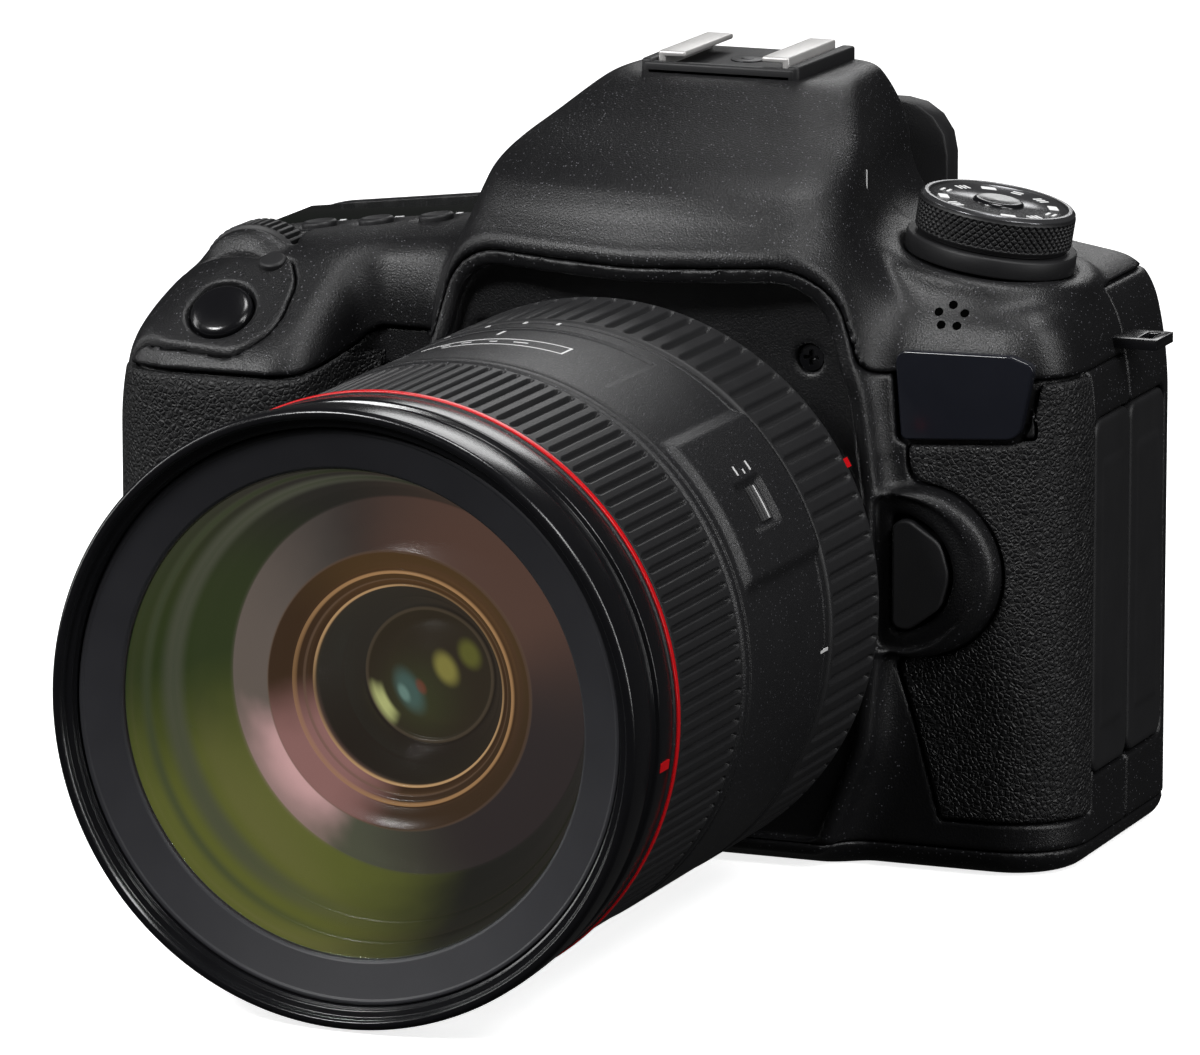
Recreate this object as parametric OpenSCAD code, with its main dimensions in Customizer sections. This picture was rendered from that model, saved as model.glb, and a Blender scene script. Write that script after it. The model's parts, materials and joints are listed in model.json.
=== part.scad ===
// Digital single-lens reflex camera with a standard zoom lens, as separate parts.
// Millimetres. Z is up, the lens looks along -Y and the grip is on the -X side.
// The origin is the mouth of the tripod socket, straight below the lens axis.

/* [Body] */
// Lens axis to the outside of the grip
grip_side = 87; // [84:0.5:105]
// Lens axis to the outside of the terminal side
terminal_side = 65.5; // [64:0.5:79]
// Height of the lens axis above the base
axis_z = 44.6; // [44.6:0.1:47]
// Tripod socket to the rear face
rear_y = 32; // [31:0.5:38.5]
// Tripod socket forward to the front face beside the lens
front_depth = 20; // [19:0.5:21]
// Tripod socket forward to the face of the lens mount
flange_depth = 26; // [25:0.5:28]
// Tripod socket forward to the front of the grip
grip_depth = 32; // [30:0.5:38.5]
// Tripod socket forward to the bottom of the finger recess
recess_depth = 13; // [11:0.5:15]
// Lens axis to the finger recess's wall on the grip
recess_side = 50; // [49:0.5:52]
// Plane where the front and rear covers meet
split_y = 8.5; // [7:0.5:10]
// Wall of the covers
wall = 2; // [1.5:0.1:2.2]
// Height of the bottom cover's rim
base_rim = 4; // [3.5:0.5:5]

/* [Deck] */
// Height of the joint between the front and top covers
front_seam = 76; // [74:0.5:78]
// Height of the joint between the front and top covers on the grip
grip_seam = 70; // [69:0.5:71]
// Height of the joint between the rear and top covers
rear_seam = 85; // [84:0.5:86]
// Deck height at the grip's end
deck_low = 86.2; // [85:0.2:88]
// Deck height beside the hump, grip side
deck_high = 91.5; // [90.5:0.5:92]
// Deck height beside the hump, terminal side
deck_dial = 91; // [90.5:0.1:91.5]
// Deck height at the terminal side's shoulder
deck_shoulder = 86.5; // [86:0.1:88]
// Height where the finger facet meets the front of the grip
facet_low = 71; // [69:0.5:73]
// Tripod socket forward to the top of the finger facet
facet_back = 12; // [11:0.5:13]

/* [Prism hump] */
// Half width of the hump at its foot
hump_foot = 33; // [31:0.5:35]
// Height of the hump's top
hump_top = 113.4; // [112:0.2:118]
// Half width of the hump's top
hump_crown = 13.5; // [13:0.5:15]
// How far the hump's brow stands in front of the lens mount
brow_lip = 3.5; // [2:0.5:5]
// Height of the brow's lower edge
brow_z = 92.3; // [92:0.1:94]

/* [Apron] */
// Half width of the apron round the mount
apron_half = 36; // [35:0.5:37]
// How far the mount stands in front of the apron
apron_set = 1; // [0.5:0.1:1.5]
// Height of the apron's top edge
apron_top = 91.8; // [91:0.2:92]
// Height of the apron's two screws
apron_screw_z = 77.5; // [76:0.5:79]
// Lens axis to each of the apron's screws
apron_screw_x = 26; // [25:0.5:27]

/* [Skins] */
// Thickness of the grip rubber and the leather
skin = 1; // [0.6:0.1:1.4]
// Height of the lower edge of the skins
skin_low = 8; // [7:0.5:12]
// Height of the grip rubber's upper edge
grip_skin_top = 69.5; // [66:0.5:69.5]
// Height of the leather's upper edge
leather_top = 65; // [62:0.5:66]

/* [Name plate] */
// Width of the blank name plate
plate_w = 19; // [16:0.5:20]
// Height of the blank name plate
plate_h = 13; // [10:0.5:13.5]
// Lens axis to the name plate's near edge
plate_x = 38; // [37.5:0.5:40]

/* [Mirror box] */
// Half width of the mirror box
box_half = 27; // [26:0.5:28]
// Radius of the throat through the mirror box
throat_r = 26.9; // [26:0.1:27]
// Length of the main mirror
mirror_len = 29.5; // [27:0.5:30]
// Width of the main mirror
mirror_w = 38; // [34:0.5:40]
// Height of the mirror's hinge above the lens axis
mirror_up = 16; // [15:0.5:17]
// Mount face to the image plane
flange_focal = 44; // [43.5:0.1:44.5]
// Width of the image
image_w = 36; // [34:0.5:37]
// Height of the image
image_h = 24; // [22:0.5:25]
// Travel of the shutter curtain
curtain_travel = 25; // [22:0.5:25]

/* [Lens] */
// Radius of the rim at the front of the lens
rim_r = 44.1; // [43.5:0.1:44.4]
// Mount face to the front of the lens
lens_len = 113; // [111:0.5:136]
// Radius of the outer barrel between the rings
collar_r = 42.9; // [42.6:0.1:43.2]
// Radius of the barrel under the rings
core_r = 40.4; // [40:0.1:40.6]
// Radius of the bore that the front barrel slides in
slide_r = 38; // [37.5:0.1:38.2]
// Radius of the front lens element
glass_r = 35.85; // [32:0.05:35.9]
// Radius of the filter thread at its crest
filter_r = 40.6; // [39:0.1:40.9]
// Depth of the filter thread
filter_depth = 4; // [3:0.5:5]
// Mount face to the rear edge of the zoom ring
zoom_start = 12.6; // [11:0.2:14]
// Width of the zoom ring
zoom_w = 20.6; // [17:0.2:24.8]
// Width of the plain barrel between the rings
collar_w = 34.6; // [30:0.2:36]
// Width of the focus ring
focus_w = 24.8; // [20:0.2:25]
// Travel of the front barrel
zoom_travel = 28; // [20:1:30]
// Travel of the focus group
focus_travel = 6; // [3:0.5:7]

/* [Top controls] */
// Radius of the shutter button
shutter_r = 5; // [4:0.1:6]
// Grip's outside to the shutter button's axis
shutter_in = 17.5; // [16:0.5:19]
// Facet's foot back to the shutter button's axis
shutter_back = 8.5; // [8:0.5:9.5]
// Radius of the main dial
main_dial_r = 9; // [8:0.5:9.5]
// Width of the main dial
main_dial_w = 6.5; // [5:0.5:7]
// Radius of each button in front of the top screen
deck_button_r = 2.8; // [2.2:0.1:3.4]
// Radius of the mode dial
mode_r = 11.9; // [10:0.1:12]
// Height of the mode dial
mode_h = 6; // [5:0.5:8]
// Lens axis to the mode dial's axis
mode_x = 45; // [44.5:0.5:48]
// Radius of the function button
function_r = 2.4; // [2:0.1:2.6]
// How far the release button's housing stands out of the front
boss_proud = 5; // [4:0.5:6]
// Width of the top screen
top_screen_w = 38; // [31:1:40]
// Depth of the top screen
top_screen_d = 20; // [16:1:22]

/* [Rear controls] */
// Width of the rear screen
screen_w = 76; // [64:1:77]
// Height of the rear screen
screen_h = 54; // [45:1:55]
// Lens axis to the middle of the rear screen
screen_x = 12; // [11:0.5:13]
// How far the rear screen stands proud
screen_proud = 3.5; // [2:0.5:4]
// Radius of the quick control dial
quick_r = 18; // [15:0.5:19]
// Radius of the set button
set_r = 8.5; // [7:0.1:10]
// Radius of the small rear buttons
rear_button_r = 3; // [2.4:0.1:3.4]
// Half width of the eyepiece frame
eyepiece_half = 18; // [16:0.5:19]
// Height of the eyepiece's axis
eyepiece_z = 94.4; // [94:0.2:95]
// Half width of the eyecup
eyecup_half = 25; // [22:0.5:30]
// Height of the eyecup
eyecup_h = 24; // [20:1:28]

/* [Doors] */
// Thickness of the doors and terminal covers
door_t = 2; // [1.5:0.1:2.2]
// Height of the terminal covers
terminal_h = 54; // [45:1:55]
// Height of the terminal covers' lower edge
terminal_z = 14; // [12:0.5:16]
// Length of the card door
card_len = 24; // [20:0.5:25]
// Height of the card door
card_h = 46; // [38:1:47]
// Battery size across the grip
battery_x = 21; // [18:0.5:22]
// Battery size from front to back
battery_y = 38.4; // [32:0.2:40]
// Battery height
battery_z = 56.8; // [47:0.2:60]

/* [Hot shoe and lugs] */
// Width of the channel for a flash's foot
shoe_slot = 18.6; // [18.6:0.1:18.7]
// Length of the shoe
shoe_len = 20; // [18:0.5:21]
// Height of the channel for a flash's foot
shoe_gap = 2; // [2:0.1:2.2]

/* [Tripod socket] */
// Radius of the tripod thread at its crest
tripod_r = 2.6; // [2.5:0.05:2.7]
// Depth of the tripod thread
tripod_depth = 5.6; // [5:0.1:6]

/* [Fits] */
// Gap round buttons, doors and windows
gap = 0.3; // [0.2:0.05:0.4]
// Radial clearance of shafts and sliding barrels
run = 0.05; // [0.03:0.01:0.08]
// Depth that a button is pressed
press = 0.8; // [0.5:0.1:1]

/* [Hidden] */
$fn = 64;
hair = 0.02;
big = 300;
// planes in front of the socket
front_y = -front_depth;
flange_y = -flange_depth;
grip_y = -grip_depth;
recess_y = -recess_depth;
apron_y = flange_y + apron_set;
facet_y = -facet_back;
facet_angle = atan2(deck_low + 2 - facet_low, facet_y - grip_y);
sensor_y = flange_y + flange_focal;
deck_slope = atan2(deck_high - deck_low, grip_side - 9 - 34);
// fillets of the body's plan and of its front and side outlines
rear_corner = 7;
grip_corner = 14;
side_corner = 12;
// the lens's rings, measured forward from the mount face
zoom_end = zoom_start + zoom_w;
focus_start = zoom_end + collar_w;
focus_end = focus_start + focus_w;
nose_end = focus_end + 3.4;
sleeve_start = 50;
thread_back = lens_len - filter_depth;
// the mount
mount_r = 33;
mount_t = 3;
bayonet_r = 24;
// mirror box
box_front = flange_y + mount_t + 0.2;
box_back = sensor_y - 5;
box_low = axis_z - 20;
box_high = front_seam - 2;
mirror_y = box_back - 1;
mirror_z = axis_z + mirror_up;
// controls
shutter_x = -grip_side + shutter_in;
shutter_y = grip_y + shutter_back;
shutter_z = facet_low + shutter_back * tan(facet_angle);
main_dial_x = -grip_side + 17.5;
main_dial_rise = 2.4; // how far the wheel stands out of the deck
main_dial_y = -8;
button_row_y = 0.5;
light_x = -grip_side + 14.5;
metering_x = -grip_side + 23.5;
drive_x = -grip_side + 33;
iso_x = -grip_side + 43;
top_screen_x = -grip_side + 30;
top_screen_y = rear_y - 16.5;
mode_y = 2;
dial_tilt = atan2(deck_dial - deck_shoulder, terminal_side - 4 - 34);
dial_deck = deck_dial - (mode_x - 34) * tan(dial_tilt);
quick_x = -grip_side + 31;
quick_z = 30;
stick_x = -grip_side + 45;
stick_z = 58;
start_x = -grip_side + 52;
start_z = 74;
start_r = 4.9;
af_on_x = -grip_side + 35;
ae_lock_x = -grip_side + 23;
thumb_row_z = 77;
column_x = terminal_side - 9.5;
menu_z = 77;
playback_z = 40;
erase_z = 24;
screen_z = 39;
release_x = apron_half + 3.6;
release_z = axis_z + 1.5;
release_r = 8.4;
release_rim = 4.2;
preview_x = -apron_half - 7;
preview_z = 24;
diopter_z = 99;
lug_y = 8;
lug_z = 77.8;
lug_drop = 10; // the grip side's lug sits lower
terminal_y = front_y + side_corner + 0.5;
terminal_end = rear_y - rear_corner - 0.5;
card_y = rear_y - 10;
card_z = 18;
battery_cx = -grip_side + 18.5;
battery_cy = -4.8;
eyepiece_y = rear_y + 7;
eyecup_t = 5.2;

function unit(v) = v / norm(v);
function xy(p) = [p[0], p[1]];
function cross2(a, b) = a.x * b.y - a.y * b.x;
function inward(p, q) = let (u = unit(xy(q) - xy(p))) [-u.y, u.x];
// one corner q between p and s, moved inwards by d, with its radius kept concentric
function inset_corner(p, q, s, d) =
    let (a = inward(p, q), b = inward(q, s))
    let (turn = cross2(xy(q) - xy(p), xy(s) - xy(q)))
    let (moved = xy(q) + (a + b) * d / (1 + a * b))
    [moved.x, moved.y, max(turn > 0 ? q[2] - d : q[2] + d, 0.4)];
function inset(pts, d) =
    let (n = len(pts))
    [for (i = [0:n - 1]) inset_corner(pts[(i + n - 1) % n], pts[i], pts[(i + 1) % n], d)];
// arc of radius q[2] that rounds the corner q
function fillet(p, q, s, steps) =
    let (a = unit(xy(p) - xy(q)), b = unit(xy(s) - xy(q)))
    let (half = acos(a * b) / 2, centre = xy(q) + unit(a + b) * q[2] / sin(half))
    let (start = xy(q) + a * q[2] / tan(half) - centre)
    let (end = xy(q) + b * q[2] / tan(half) - centre)
    let (from = atan2(start.y, start.x))
    let (sweep = (atan2(end.y, end.x) - from + 540) % 360 - 180)
    [for (i = [0:steps]) centre + q[2] * [cos(from + sweep * i / steps), sin(from + sweep * i / steps)]];
// closed outline from corners [x, y, radius], listed anticlockwise
function outline(pts, steps = 4) =
    let (n = len(pts))
    [for (i = [0:n - 1])
        each fillet(pts[(i + n - 1) % n], pts[i], pts[(i + 1) % n], steps)];
// height of the deck at x, grip side
function deck_at(x) = deck_low + (x + grip_side - 9) * tan(deck_slope);

plan_corners = [
    [terminal_side, rear_y, rear_corner],
    [-grip_side, rear_y, rear_corner],
    [-grip_side, grip_y, grip_corner],
    [-recess_side - 5, grip_y, 8],
    [-recess_side, recess_y, 5],
    [-apron_half - 1, recess_y, 2],
    [-apron_half + 2, front_y, 1],
    [terminal_side, front_y, side_corner]];
front_corners = [
    [-grip_side, 0, 5],
    [terminal_side, 0, 10],
    [terminal_side, deck_shoulder - 9, 5],
    [terminal_side - 4, deck_shoulder, 4],
    [34, deck_dial, 2],
    [-34, deck_high, 2],
    [-grip_side + 9, deck_low, 6],
    [-grip_side, facet_low, 9]];
side_corners = [
    [grip_y, 0, 4],
    [rear_y, 0, 3],
    [rear_y, deck_high + 1, 5],
    [facet_y + 4, deck_high + 1, 3],
    [grip_y, facet_low, 3]];
apron_corners = [
    [-28, base_rim + 0.5, 2],
    [28, base_rim + 0.5, 2],
    [apron_half - 2, 20, 20],
    [apron_half, axis_z, 20],
    [apron_half - 3, 72, 20],
    [28, 85, 8],
    [20, apron_top, 3],
    [-20, apron_top, 3],
    [-28, 85, 8],
    [-apron_half + 3, 72, 20],
    [-apron_half, axis_z, 20],
    [-apron_half + 2, 20, 20]];

// Lathe work along the lens axis: z forward from the mount face
module on_lens(forward = 0) {
    translate([0, flange_y - forward, axis_z]) rotate([90, 0, 0]) children();
}

module ring(outer, inner, height) {
    difference() {
        cylinder(r = outer, h = height);
        translate([0, 0, -1]) cylinder(r = inner, h = height + 2);
    }
}

// Box given by its lowest and highest corners
module span(low, high) {
    translate(low) cube(high - low);
}

// Prism of an outline in x and z, from front to back
module along_y(points, front, back) {
    translate([0, back, 0]) rotate([90, 0, 0]) linear_extrude(back - front) polygon(points);
}

// Prism of an outline in y and z, from left to right
module along_x(points, left, right) {
    translate([left, 0, 0]) rotate([90, 0, 90]) linear_extrude(right - left) polygon(points);
}

// The body without its hump, with every face moved inwards by d
module envelope(d = 0) {
    intersection() {
        linear_extrude(big) polygon(outline(inset(plan_corners, d)));
        along_y(outline(inset(front_corners, d)), -big, big);
        along_x(outline(inset(side_corners, d)), -big, big);
    }
}

// One level of the hump: half width, front, back and height
module hump_level(half, front, back, z, d) {
    corners = [[half, front, 6], [half, back, 6], [-half, back, 6], [-half, front, 6]];
    translate([0, 0, z]) linear_extrude(hair) polygon(outline(inset(corners, d)));
}

module hump(d = 0) {
    lip = flange_y - brow_lip;
    hull() {
        hump_level(hump_foot, front_y + 2, rear_y + 4, 88, d);
        hump_level(hump_foot - 3, lip, rear_y + 4, brow_z + d, d);
        hump_level(hump_foot - 5, lip + 0.5, rear_y + 4, brow_z + 3, d);
        hump_level(hump_foot - 10, lip + 10, rear_y + 3, hump_top - 10.4 - d, d);
        hump_level(hump_crown + 4.5, lip + 22, rear_y + 1, hump_top - 4.4 - d, d);
        hump_level(hump_crown, 3, rear_y - 1, hump_top - d - hair, d);
    }
}

// The block that the lens mount stands in
module apron() {
    along_y(outline(apron_corners), apron_y, front_y + wall);
}

module apron_hollow() {
    along_y(outline(inset(apron_corners, wall)), apron_y + wall, front_y + wall + 1);
}

module shell() {
    difference() {
        envelope();
        envelope(wall);
    }
}

module skin_band(grow = 0) {
    difference() {
        translate([0, 0, skin_low]) linear_extrude(big) polygon(outline(inset(plan_corners, 0)));
        linear_extrude(big) polygon(outline(inset(plan_corners, skin + grow)));
    }
}

module grip_zone() {
    intersection() {
        skin_band();
        envelope();
        span([-big, -big, skin_low], [-recess_side - 1, card_y - card_len - 1, grip_skin_top]);
    }
}

module leather_zone() {
    difference() {
        intersection() {
            skin_band();
            envelope();
            union() {
                span([apron_half + 0.5, -big, skin_low], [big, terminal_y - 1, leather_top]);
                span([plate_x + plate_w + 0.6, -big, skin_low], [big, terminal_y - 1, front_seam - 0.5]);
            }
        }
        release_boss(gap);
    }
}

module plate_zone(grow = 0) {
    translate([plate_x - grow, front_y - 0.4, leather_top + 1 - grow])
        cube([plate_w + 2 * grow, 2, plate_h + 2 * grow]);
}

// Half disc on its +X side
module half_disc(r, h) {
    intersection() {
        cylinder(r = r, h = h);
        translate([0, -r - 1, -1]) cube([r + 1, 2 * r + 2, h + 2]);
    }
}

// Works forward from inside the front cover, at the release button
module on_release(forward = 0) {
    translate([release_x, front_y + wall - forward, release_z]) rotate([90, 0, 0]) children();
}

module release_boss(grow = 0) {
    on_release() translate([2.8, 0, 0]) cylinder(r = release_r + release_rim + grow, h = wall + boss_proud + grow);
}

module terminal_opening(grow = 0) {
    span([terminal_side - 4, terminal_y - grow, terminal_z - grow],
        [terminal_side + 1, terminal_end + grow, terminal_z + terminal_h + grow]);
}

module card_opening(grow = 0) {
    span([-grip_side - 1, card_y - card_len - grow, card_z - grow],
        [-grip_side + 4, card_y + grow, card_z + card_h + grow]);
}

// Places each of the apron's screws, with z forward
module each_apron_screw() {
    for (side = [-1, 1])
        translate([side * apron_screw_x, apron_y, apron_screw_z]) rotate([90, 0, 0]) children();
}

// Places each of the bottom cover's screws, with z up
module each_base_screw() {
    for (x = [-40, 22, terminal_side - 12], y = [recess_y + 4, rear_y - 9])
        translate([x, y, 0]) children();
}

module strap_lug_place() {
    translate([terminal_side - wall - 0.5, lug_y, lug_z]) children();
    translate([-grip_side + wall + 0.5, lug_y, lug_z - lug_drop]) mirror([1, 0, 0]) children();
}

module bottom_cover() {
    color("#1c1c1d") difference() {
        union() {
            intersection() {
                shell();
                span([-big, -big, 0], [big, big, base_rim]);
            }
            cylinder(r = 7, h = tripod_depth + 2);
            each_base_screw() cylinder(r = 3, h = base_rim);
        }
        translate([0, 0, -1]) cylinder(r = tripod_r, h = tripod_depth + 1);
        battery_door_zone(gap);
        each_base_screw() {
            translate([0, 0, -1]) cylinder(r = 1 + run, h = 9);
            translate([0, 0, -1]) cylinder(r = 2 + run, h = 2.2);
        }
    }
}

module front_cover() {
    color("#202021") difference() {
        union() {
            intersection() {
                shell();
                union() {
                    span([-big, -big, base_rim], [big, split_y, grip_seam]);
                    span([0, -big, base_rim], [big, split_y, front_seam]);
                }
            }
            apron();
            release_boss();
        }
        difference() {
            apron_hollow();
            each_apron_screw() translate([0, 0, -6]) cylinder(r = 2.8, h = 5);
        }
        on_lens(-mount_t - 3) cylinder(r = mount_r + 0.2, h = 12);
        grip_zone();
        leather_zone();
        plate_zone(0.1);
        terminal_opening(gap);
        card_opening(gap);
        strap_lug_place() lug_shape(0.1);
        each_apron_screw() {
            translate([0, 0, -9]) cylinder(r = 1 + run, h = 12);
            translate([0, 0, -1]) cylinder(r = 2 + run, h = 3);
        }
        on_release(-1) translate([-gap, 0, 0]) half_disc(release_r + 2 * gap, wall + boss_proud + 3);
        on_release(-1.5) translate([-1 - gap, 0, 0]) half_disc(release_r + 2 + gap, wall + 2.5);
        translate([preview_x, recess_y + wall + 1, preview_z]) rotate([90, 0, 0])
            cylinder(r = 3 + gap, h = wall + 3);
    }
}

module rear_cover() {
    color("#202021") difference() {
        intersection() {
            shell();
            span([-big, split_y, base_rim], [big, big, rear_seam]);
        }
        span([-hump_foot - 1, split_y - 1, front_seam], [hump_foot + 1, rear_y - wall, rear_seam + 1]);
        terminal_opening(gap);
        card_opening(gap);
        top_screen_block(0.1);
        strap_lug_place() lug_shape(0.1);
        screen_block(gap);
        rear_hole(quick_x, quick_z, 11 + run);
        rear_hole(stick_x, stick_z, 3.2);
        rear_hole(start_x, start_z, start_r + gap);
        rear_hole(af_on_x, thumb_row_z, rear_button_r + 0.6 + gap);
        rear_hole(ae_lock_x, thumb_row_z, rear_button_r + gap);
        rear_hole(column_x, menu_z, rear_button_r + gap);
        rear_hole(column_x - 11, menu_z, rear_button_r + gap);
        rear_hole(column_x, playback_z, rear_button_r + gap);
        rear_hole(column_x, erase_z, rear_button_r + gap);
    }
}

module rear_hole(x, z, r) {
    translate([x, rear_y + 1, z]) rotate([90, 0, 0]) cylinder(r = r, h = wall + 2);
}

module top_cover() {
    color("#202021") difference() {
        union() {
            intersection() {
                shell();
                union() {
                    span([-big, -big, front_seam], [big, split_y, big]);
                    span([-big, -big, grip_seam], [0, split_y, big]);
                    span([-big, split_y - hair, rear_seam], [big, big, big]);
                }
            }
            hump();
        }
        hump(wall);
        span([-hump_foot + wall, front_y + 4, 80], [hump_foot - wall, rear_y - wall, 90]);
        apron();
        plate_zone(0.1);
        on_facet(0) cylinder(r = shutter_r + gap, h = 12, center = true);
        on_facet(7) cylinder(r = function_r + gap, h = 12, center = true);
        translate([main_dial_x - main_dial_r - gap, main_dial_y - main_dial_w / 2 - gap, 72])
            cube([2 * (main_dial_r + gap), main_dial_w + 2 * gap, 30]);
        deck_hole(light_x, 2.2);
        deck_hole(metering_x, deck_button_r);
        deck_hole(drive_x, deck_button_r);
        deck_hole(iso_x, deck_button_r);
        top_screen_block(0.1);
        on_dial(-10) cylinder(r = 5 + run, h = 20);
        on_dial(0.2) cylinder(r = mode_r + 1 + gap, h = 20);
        translate([0, 0, hump_top - 1]) shoe_plate(0.1);
        span([-eyepiece_half - 0.1, rear_y - 8, eyepiece_z - 9.1],
            [eyepiece_half + 0.1, rear_y + 9, eyepiece_z + 9.1]);
        translate([-hump_foot - 5, rear_y - 4, diopter_z]) rotate([0, 90, 0])
            cylinder(r = 4 + gap, h = 18);
        strap_lug_place() lug_shape(0.1);
    }
}

// Places a control on the finger facet, back from the shutter button's axis
module on_facet(back) {
    translate([shutter_x + back * 0.75, shutter_y, shutter_z]) rotate([facet_angle, 0, 0])
        translate([0, back * 1.3, 0]) children();
}

module deck_hole(x, r) {
    translate([x, button_row_y, 78]) cylinder(r = r + gap, h = 20);
}

module grip_rubber() {
    color("#161617") grip_zone();
}

module front_leather() {
    color("#161617") leather_zone();
}

module name_plate() {
    color("#2a2d33") plate_zone();
}

module cover_screws() {
    color("#3a3a3c") {
        each_apron_screw() {
            translate([0, 0, -1]) cylinder(r = 2, h = 0.9);
            translate([0, 0, -5]) cylinder(r = 1, h = 4.1);
        }
        each_base_screw() {
            translate([0, 0, 0.3]) cylinder(r = 2, h = 0.9);
            translate([0, 0, 1.1]) cylinder(r = 1, h = 4);
        }
    }
}

// Lug with a slot for a strap, x outwards
module lug_shape(grow = 0) {
    translate([-grow, -4 - grow, -0.8 - grow]) cube([8 + 2 * grow, 8 + 2 * grow, 1.6 + 2 * grow]);
}

module strap_lugs() {
    color("#4a4a4c") strap_lug_place() difference() {
        lug_shape();
        translate([4.6, -2.4, -2]) cube([1.9, 4.8, 4]);
    }
}

module shoe_plate(grow = 0) {
    half = shoe_slot / 2 + 1.2 + grow;
    span([-half, rear_y - 3.5 - shoe_len - grow, -grow], [half, rear_y - 3.5 + grow, 1]);
}

module hot_shoe() {
    half = shoe_slot / 2 + 1.2;
    floor_z = hump_top + 0.4;
    front = rear_y - 3.5 - shoe_len;
    back = rear_y - 3.5;
    color("#b9bbbd") difference() {
        span([-half, front, hump_top - 1], [half, back, floor_z + shoe_gap + 0.6]);
        span([-shoe_slot / 2, front + 1.2, floor_z], [shoe_slot / 2, back + 1, floor_z + shoe_gap]);
        span([-shoe_slot / 2 + 3, front - 1, floor_z], [shoe_slot / 2 - 3, back + 1, floor_z + 9]);
        translate([0, (front + back) / 2, floor_z - 0.4]) ring(3.4, 2.6, 2);
    }
}

module mirror_box() {
    color("#2b2b2d") difference() {
        span([-box_half, box_front, box_low], [box_half, box_back, box_high]);
        span([-box_half + 4, box_front + 2, axis_z - 17], [box_half - 4, box_back - 2, box_high - 2]);
        span([-box_half + 6, box_front + 5, box_high - 4], [box_half - 6, box_back - 5, box_high + 1]);
        on_lens(-mount_t - 6) cylinder(r = throat_r - 0.9, h = 9);
        span([-image_w / 2 - 0.5, box_back - 4, axis_z - image_h / 2 - 0.5],
            [image_w / 2 + 0.5, box_back + 1, axis_z + image_h / 2 + 0.5]);
    }
}

module body_mount() {
    color("#c9cacc") on_lens(-mount_t) ring(mount_r, throat_r + 0.2, mount_t);
}

module pentaprism() {
    sections = [[-11, 77], [20, 77], [23, 92], [11, 106], [-6, 101], [-13, 88]];
    color("#8f9aa3") along_x(sections, -16, 16);
}

module eyepiece() {
    color("#1a1a1b") {
        difference() {
            span([-eyepiece_half, rear_y - 6, eyepiece_z - 9], [eyepiece_half, eyepiece_y, eyepiece_z + 9]);
            span([-12, rear_y - 7, eyepiece_z - 7.5], [12, eyepiece_y + 1, eyepiece_z + 7.5]);
        }
        span([-12, rear_y - 2, eyepiece_z - 7.5], [12, rear_y + 1, eyepiece_z + 7.5]);
    }
}

module image_sensor() {
    color("#31413c") {
        span([-image_w / 2, sensor_y, axis_z - image_h / 2], [image_w / 2, sensor_y + 1, axis_z + image_h / 2]);
        span([-image_w / 2 - 3, sensor_y + 1, axis_z - image_h / 2 - 3],
            [image_w / 2 + 3, sensor_y + 3, axis_z + image_h / 2 + 3]);
    }
}

// Main circuit board, with its chips and the sockets behind the terminal covers
module main_board() {
    board = sensor_y + 5;
    edge = terminal_side - 5;
    color("#1f5a3a") {
        span([-36, board, 9], [edge - 6, board + 1.6, 70]);
        span([-20, board - 1.4, 10], [0, board, 26]);
        span([26, board - 1.4, 30], [42, board, 46]);
    }
    color("#1f5a3a") span([edge - 6, terminal_y + 2, terminal_z + 2], [edge - 4.5, board + 1.6, terminal_z + terminal_h - 2]);
    color("#55585c") for (i = [0:3])
        span([edge - 4.5, terminal_y + 3, terminal_z + 5 + i * 12.5], [edge, terminal_y + 13, terminal_z + 11 + i * 12.5]);
    color("#55585c") for (i = [0:2])
        span([edge - 4.5, terminal_end - 12, terminal_z + 6 + i * 16], [edge, terminal_end - 3, terminal_z + 13 + i * 16]);
}

module screen_block(grow = 0) {
    span([screen_x - screen_w / 2 - grow, rear_y - 4, screen_z - screen_h / 2 - grow],
        [screen_x + screen_w / 2 + grow, rear_y + screen_proud, screen_z + screen_h / 2 + grow]);
}

module rear_screen() {
    color("#0c0d10") screen_block();
}

module top_screen_block(grow = 0) {
    translate([top_screen_x, top_screen_y, deck_at(top_screen_x)]) rotate([0, -deck_slope, 0])
        translate([-top_screen_w / 2 - grow, -top_screen_d / 2 - grow, -2.6])
            cube([top_screen_w + 2 * grow, top_screen_d + 2 * grow, 2.4 + 4 * grow]);
}

module top_screen() {
    color("#2c322c") top_screen_block();
}

module battery() {
    color("#3b3b3d") translate([battery_cx - battery_x / 2, battery_cy - battery_y / 2, base_rim + 1])
        cube([battery_x, battery_y, battery_z]);
}

// Round button, z outwards from the face that it stands in; the collar keeps it in
module button(r, proud) {
    translate([0, 0, -wall - 0.6]) cylinder(r = r, h = wall + 0.6 + proud);
    translate([0, 0, -wall - 1.4]) cylinder(r = r + 0.9, h = 0.9);
}

module shutter_button() {
    color("#1a1a1b") on_facet(0) button(shutter_r, 1.2);
}

module function_button() {
    color("#1a1a1b") on_facet(7) button(function_r, 0.8);
}

module main_dial() {
    color("#1a1a1b") translate([main_dial_x, main_dial_y, deck_at(main_dial_x) + main_dial_rise - main_dial_r])
        rotate([90, 0, 0]) cylinder(r = main_dial_r, h = main_dial_w, center = true);
}

module deck_button(x, r) {
    color("#1a1a1b") translate([x, button_row_y, deck_at(x)]) button(r, 0.9);
}

// Places the mode dial and what turns with it: up from the deck along the dial's axis
module on_dial(up) {
    translate([mode_x, mode_y, dial_deck]) rotate([0, dial_tilt, 0]) translate([0, 0, up]) children();
}

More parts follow.
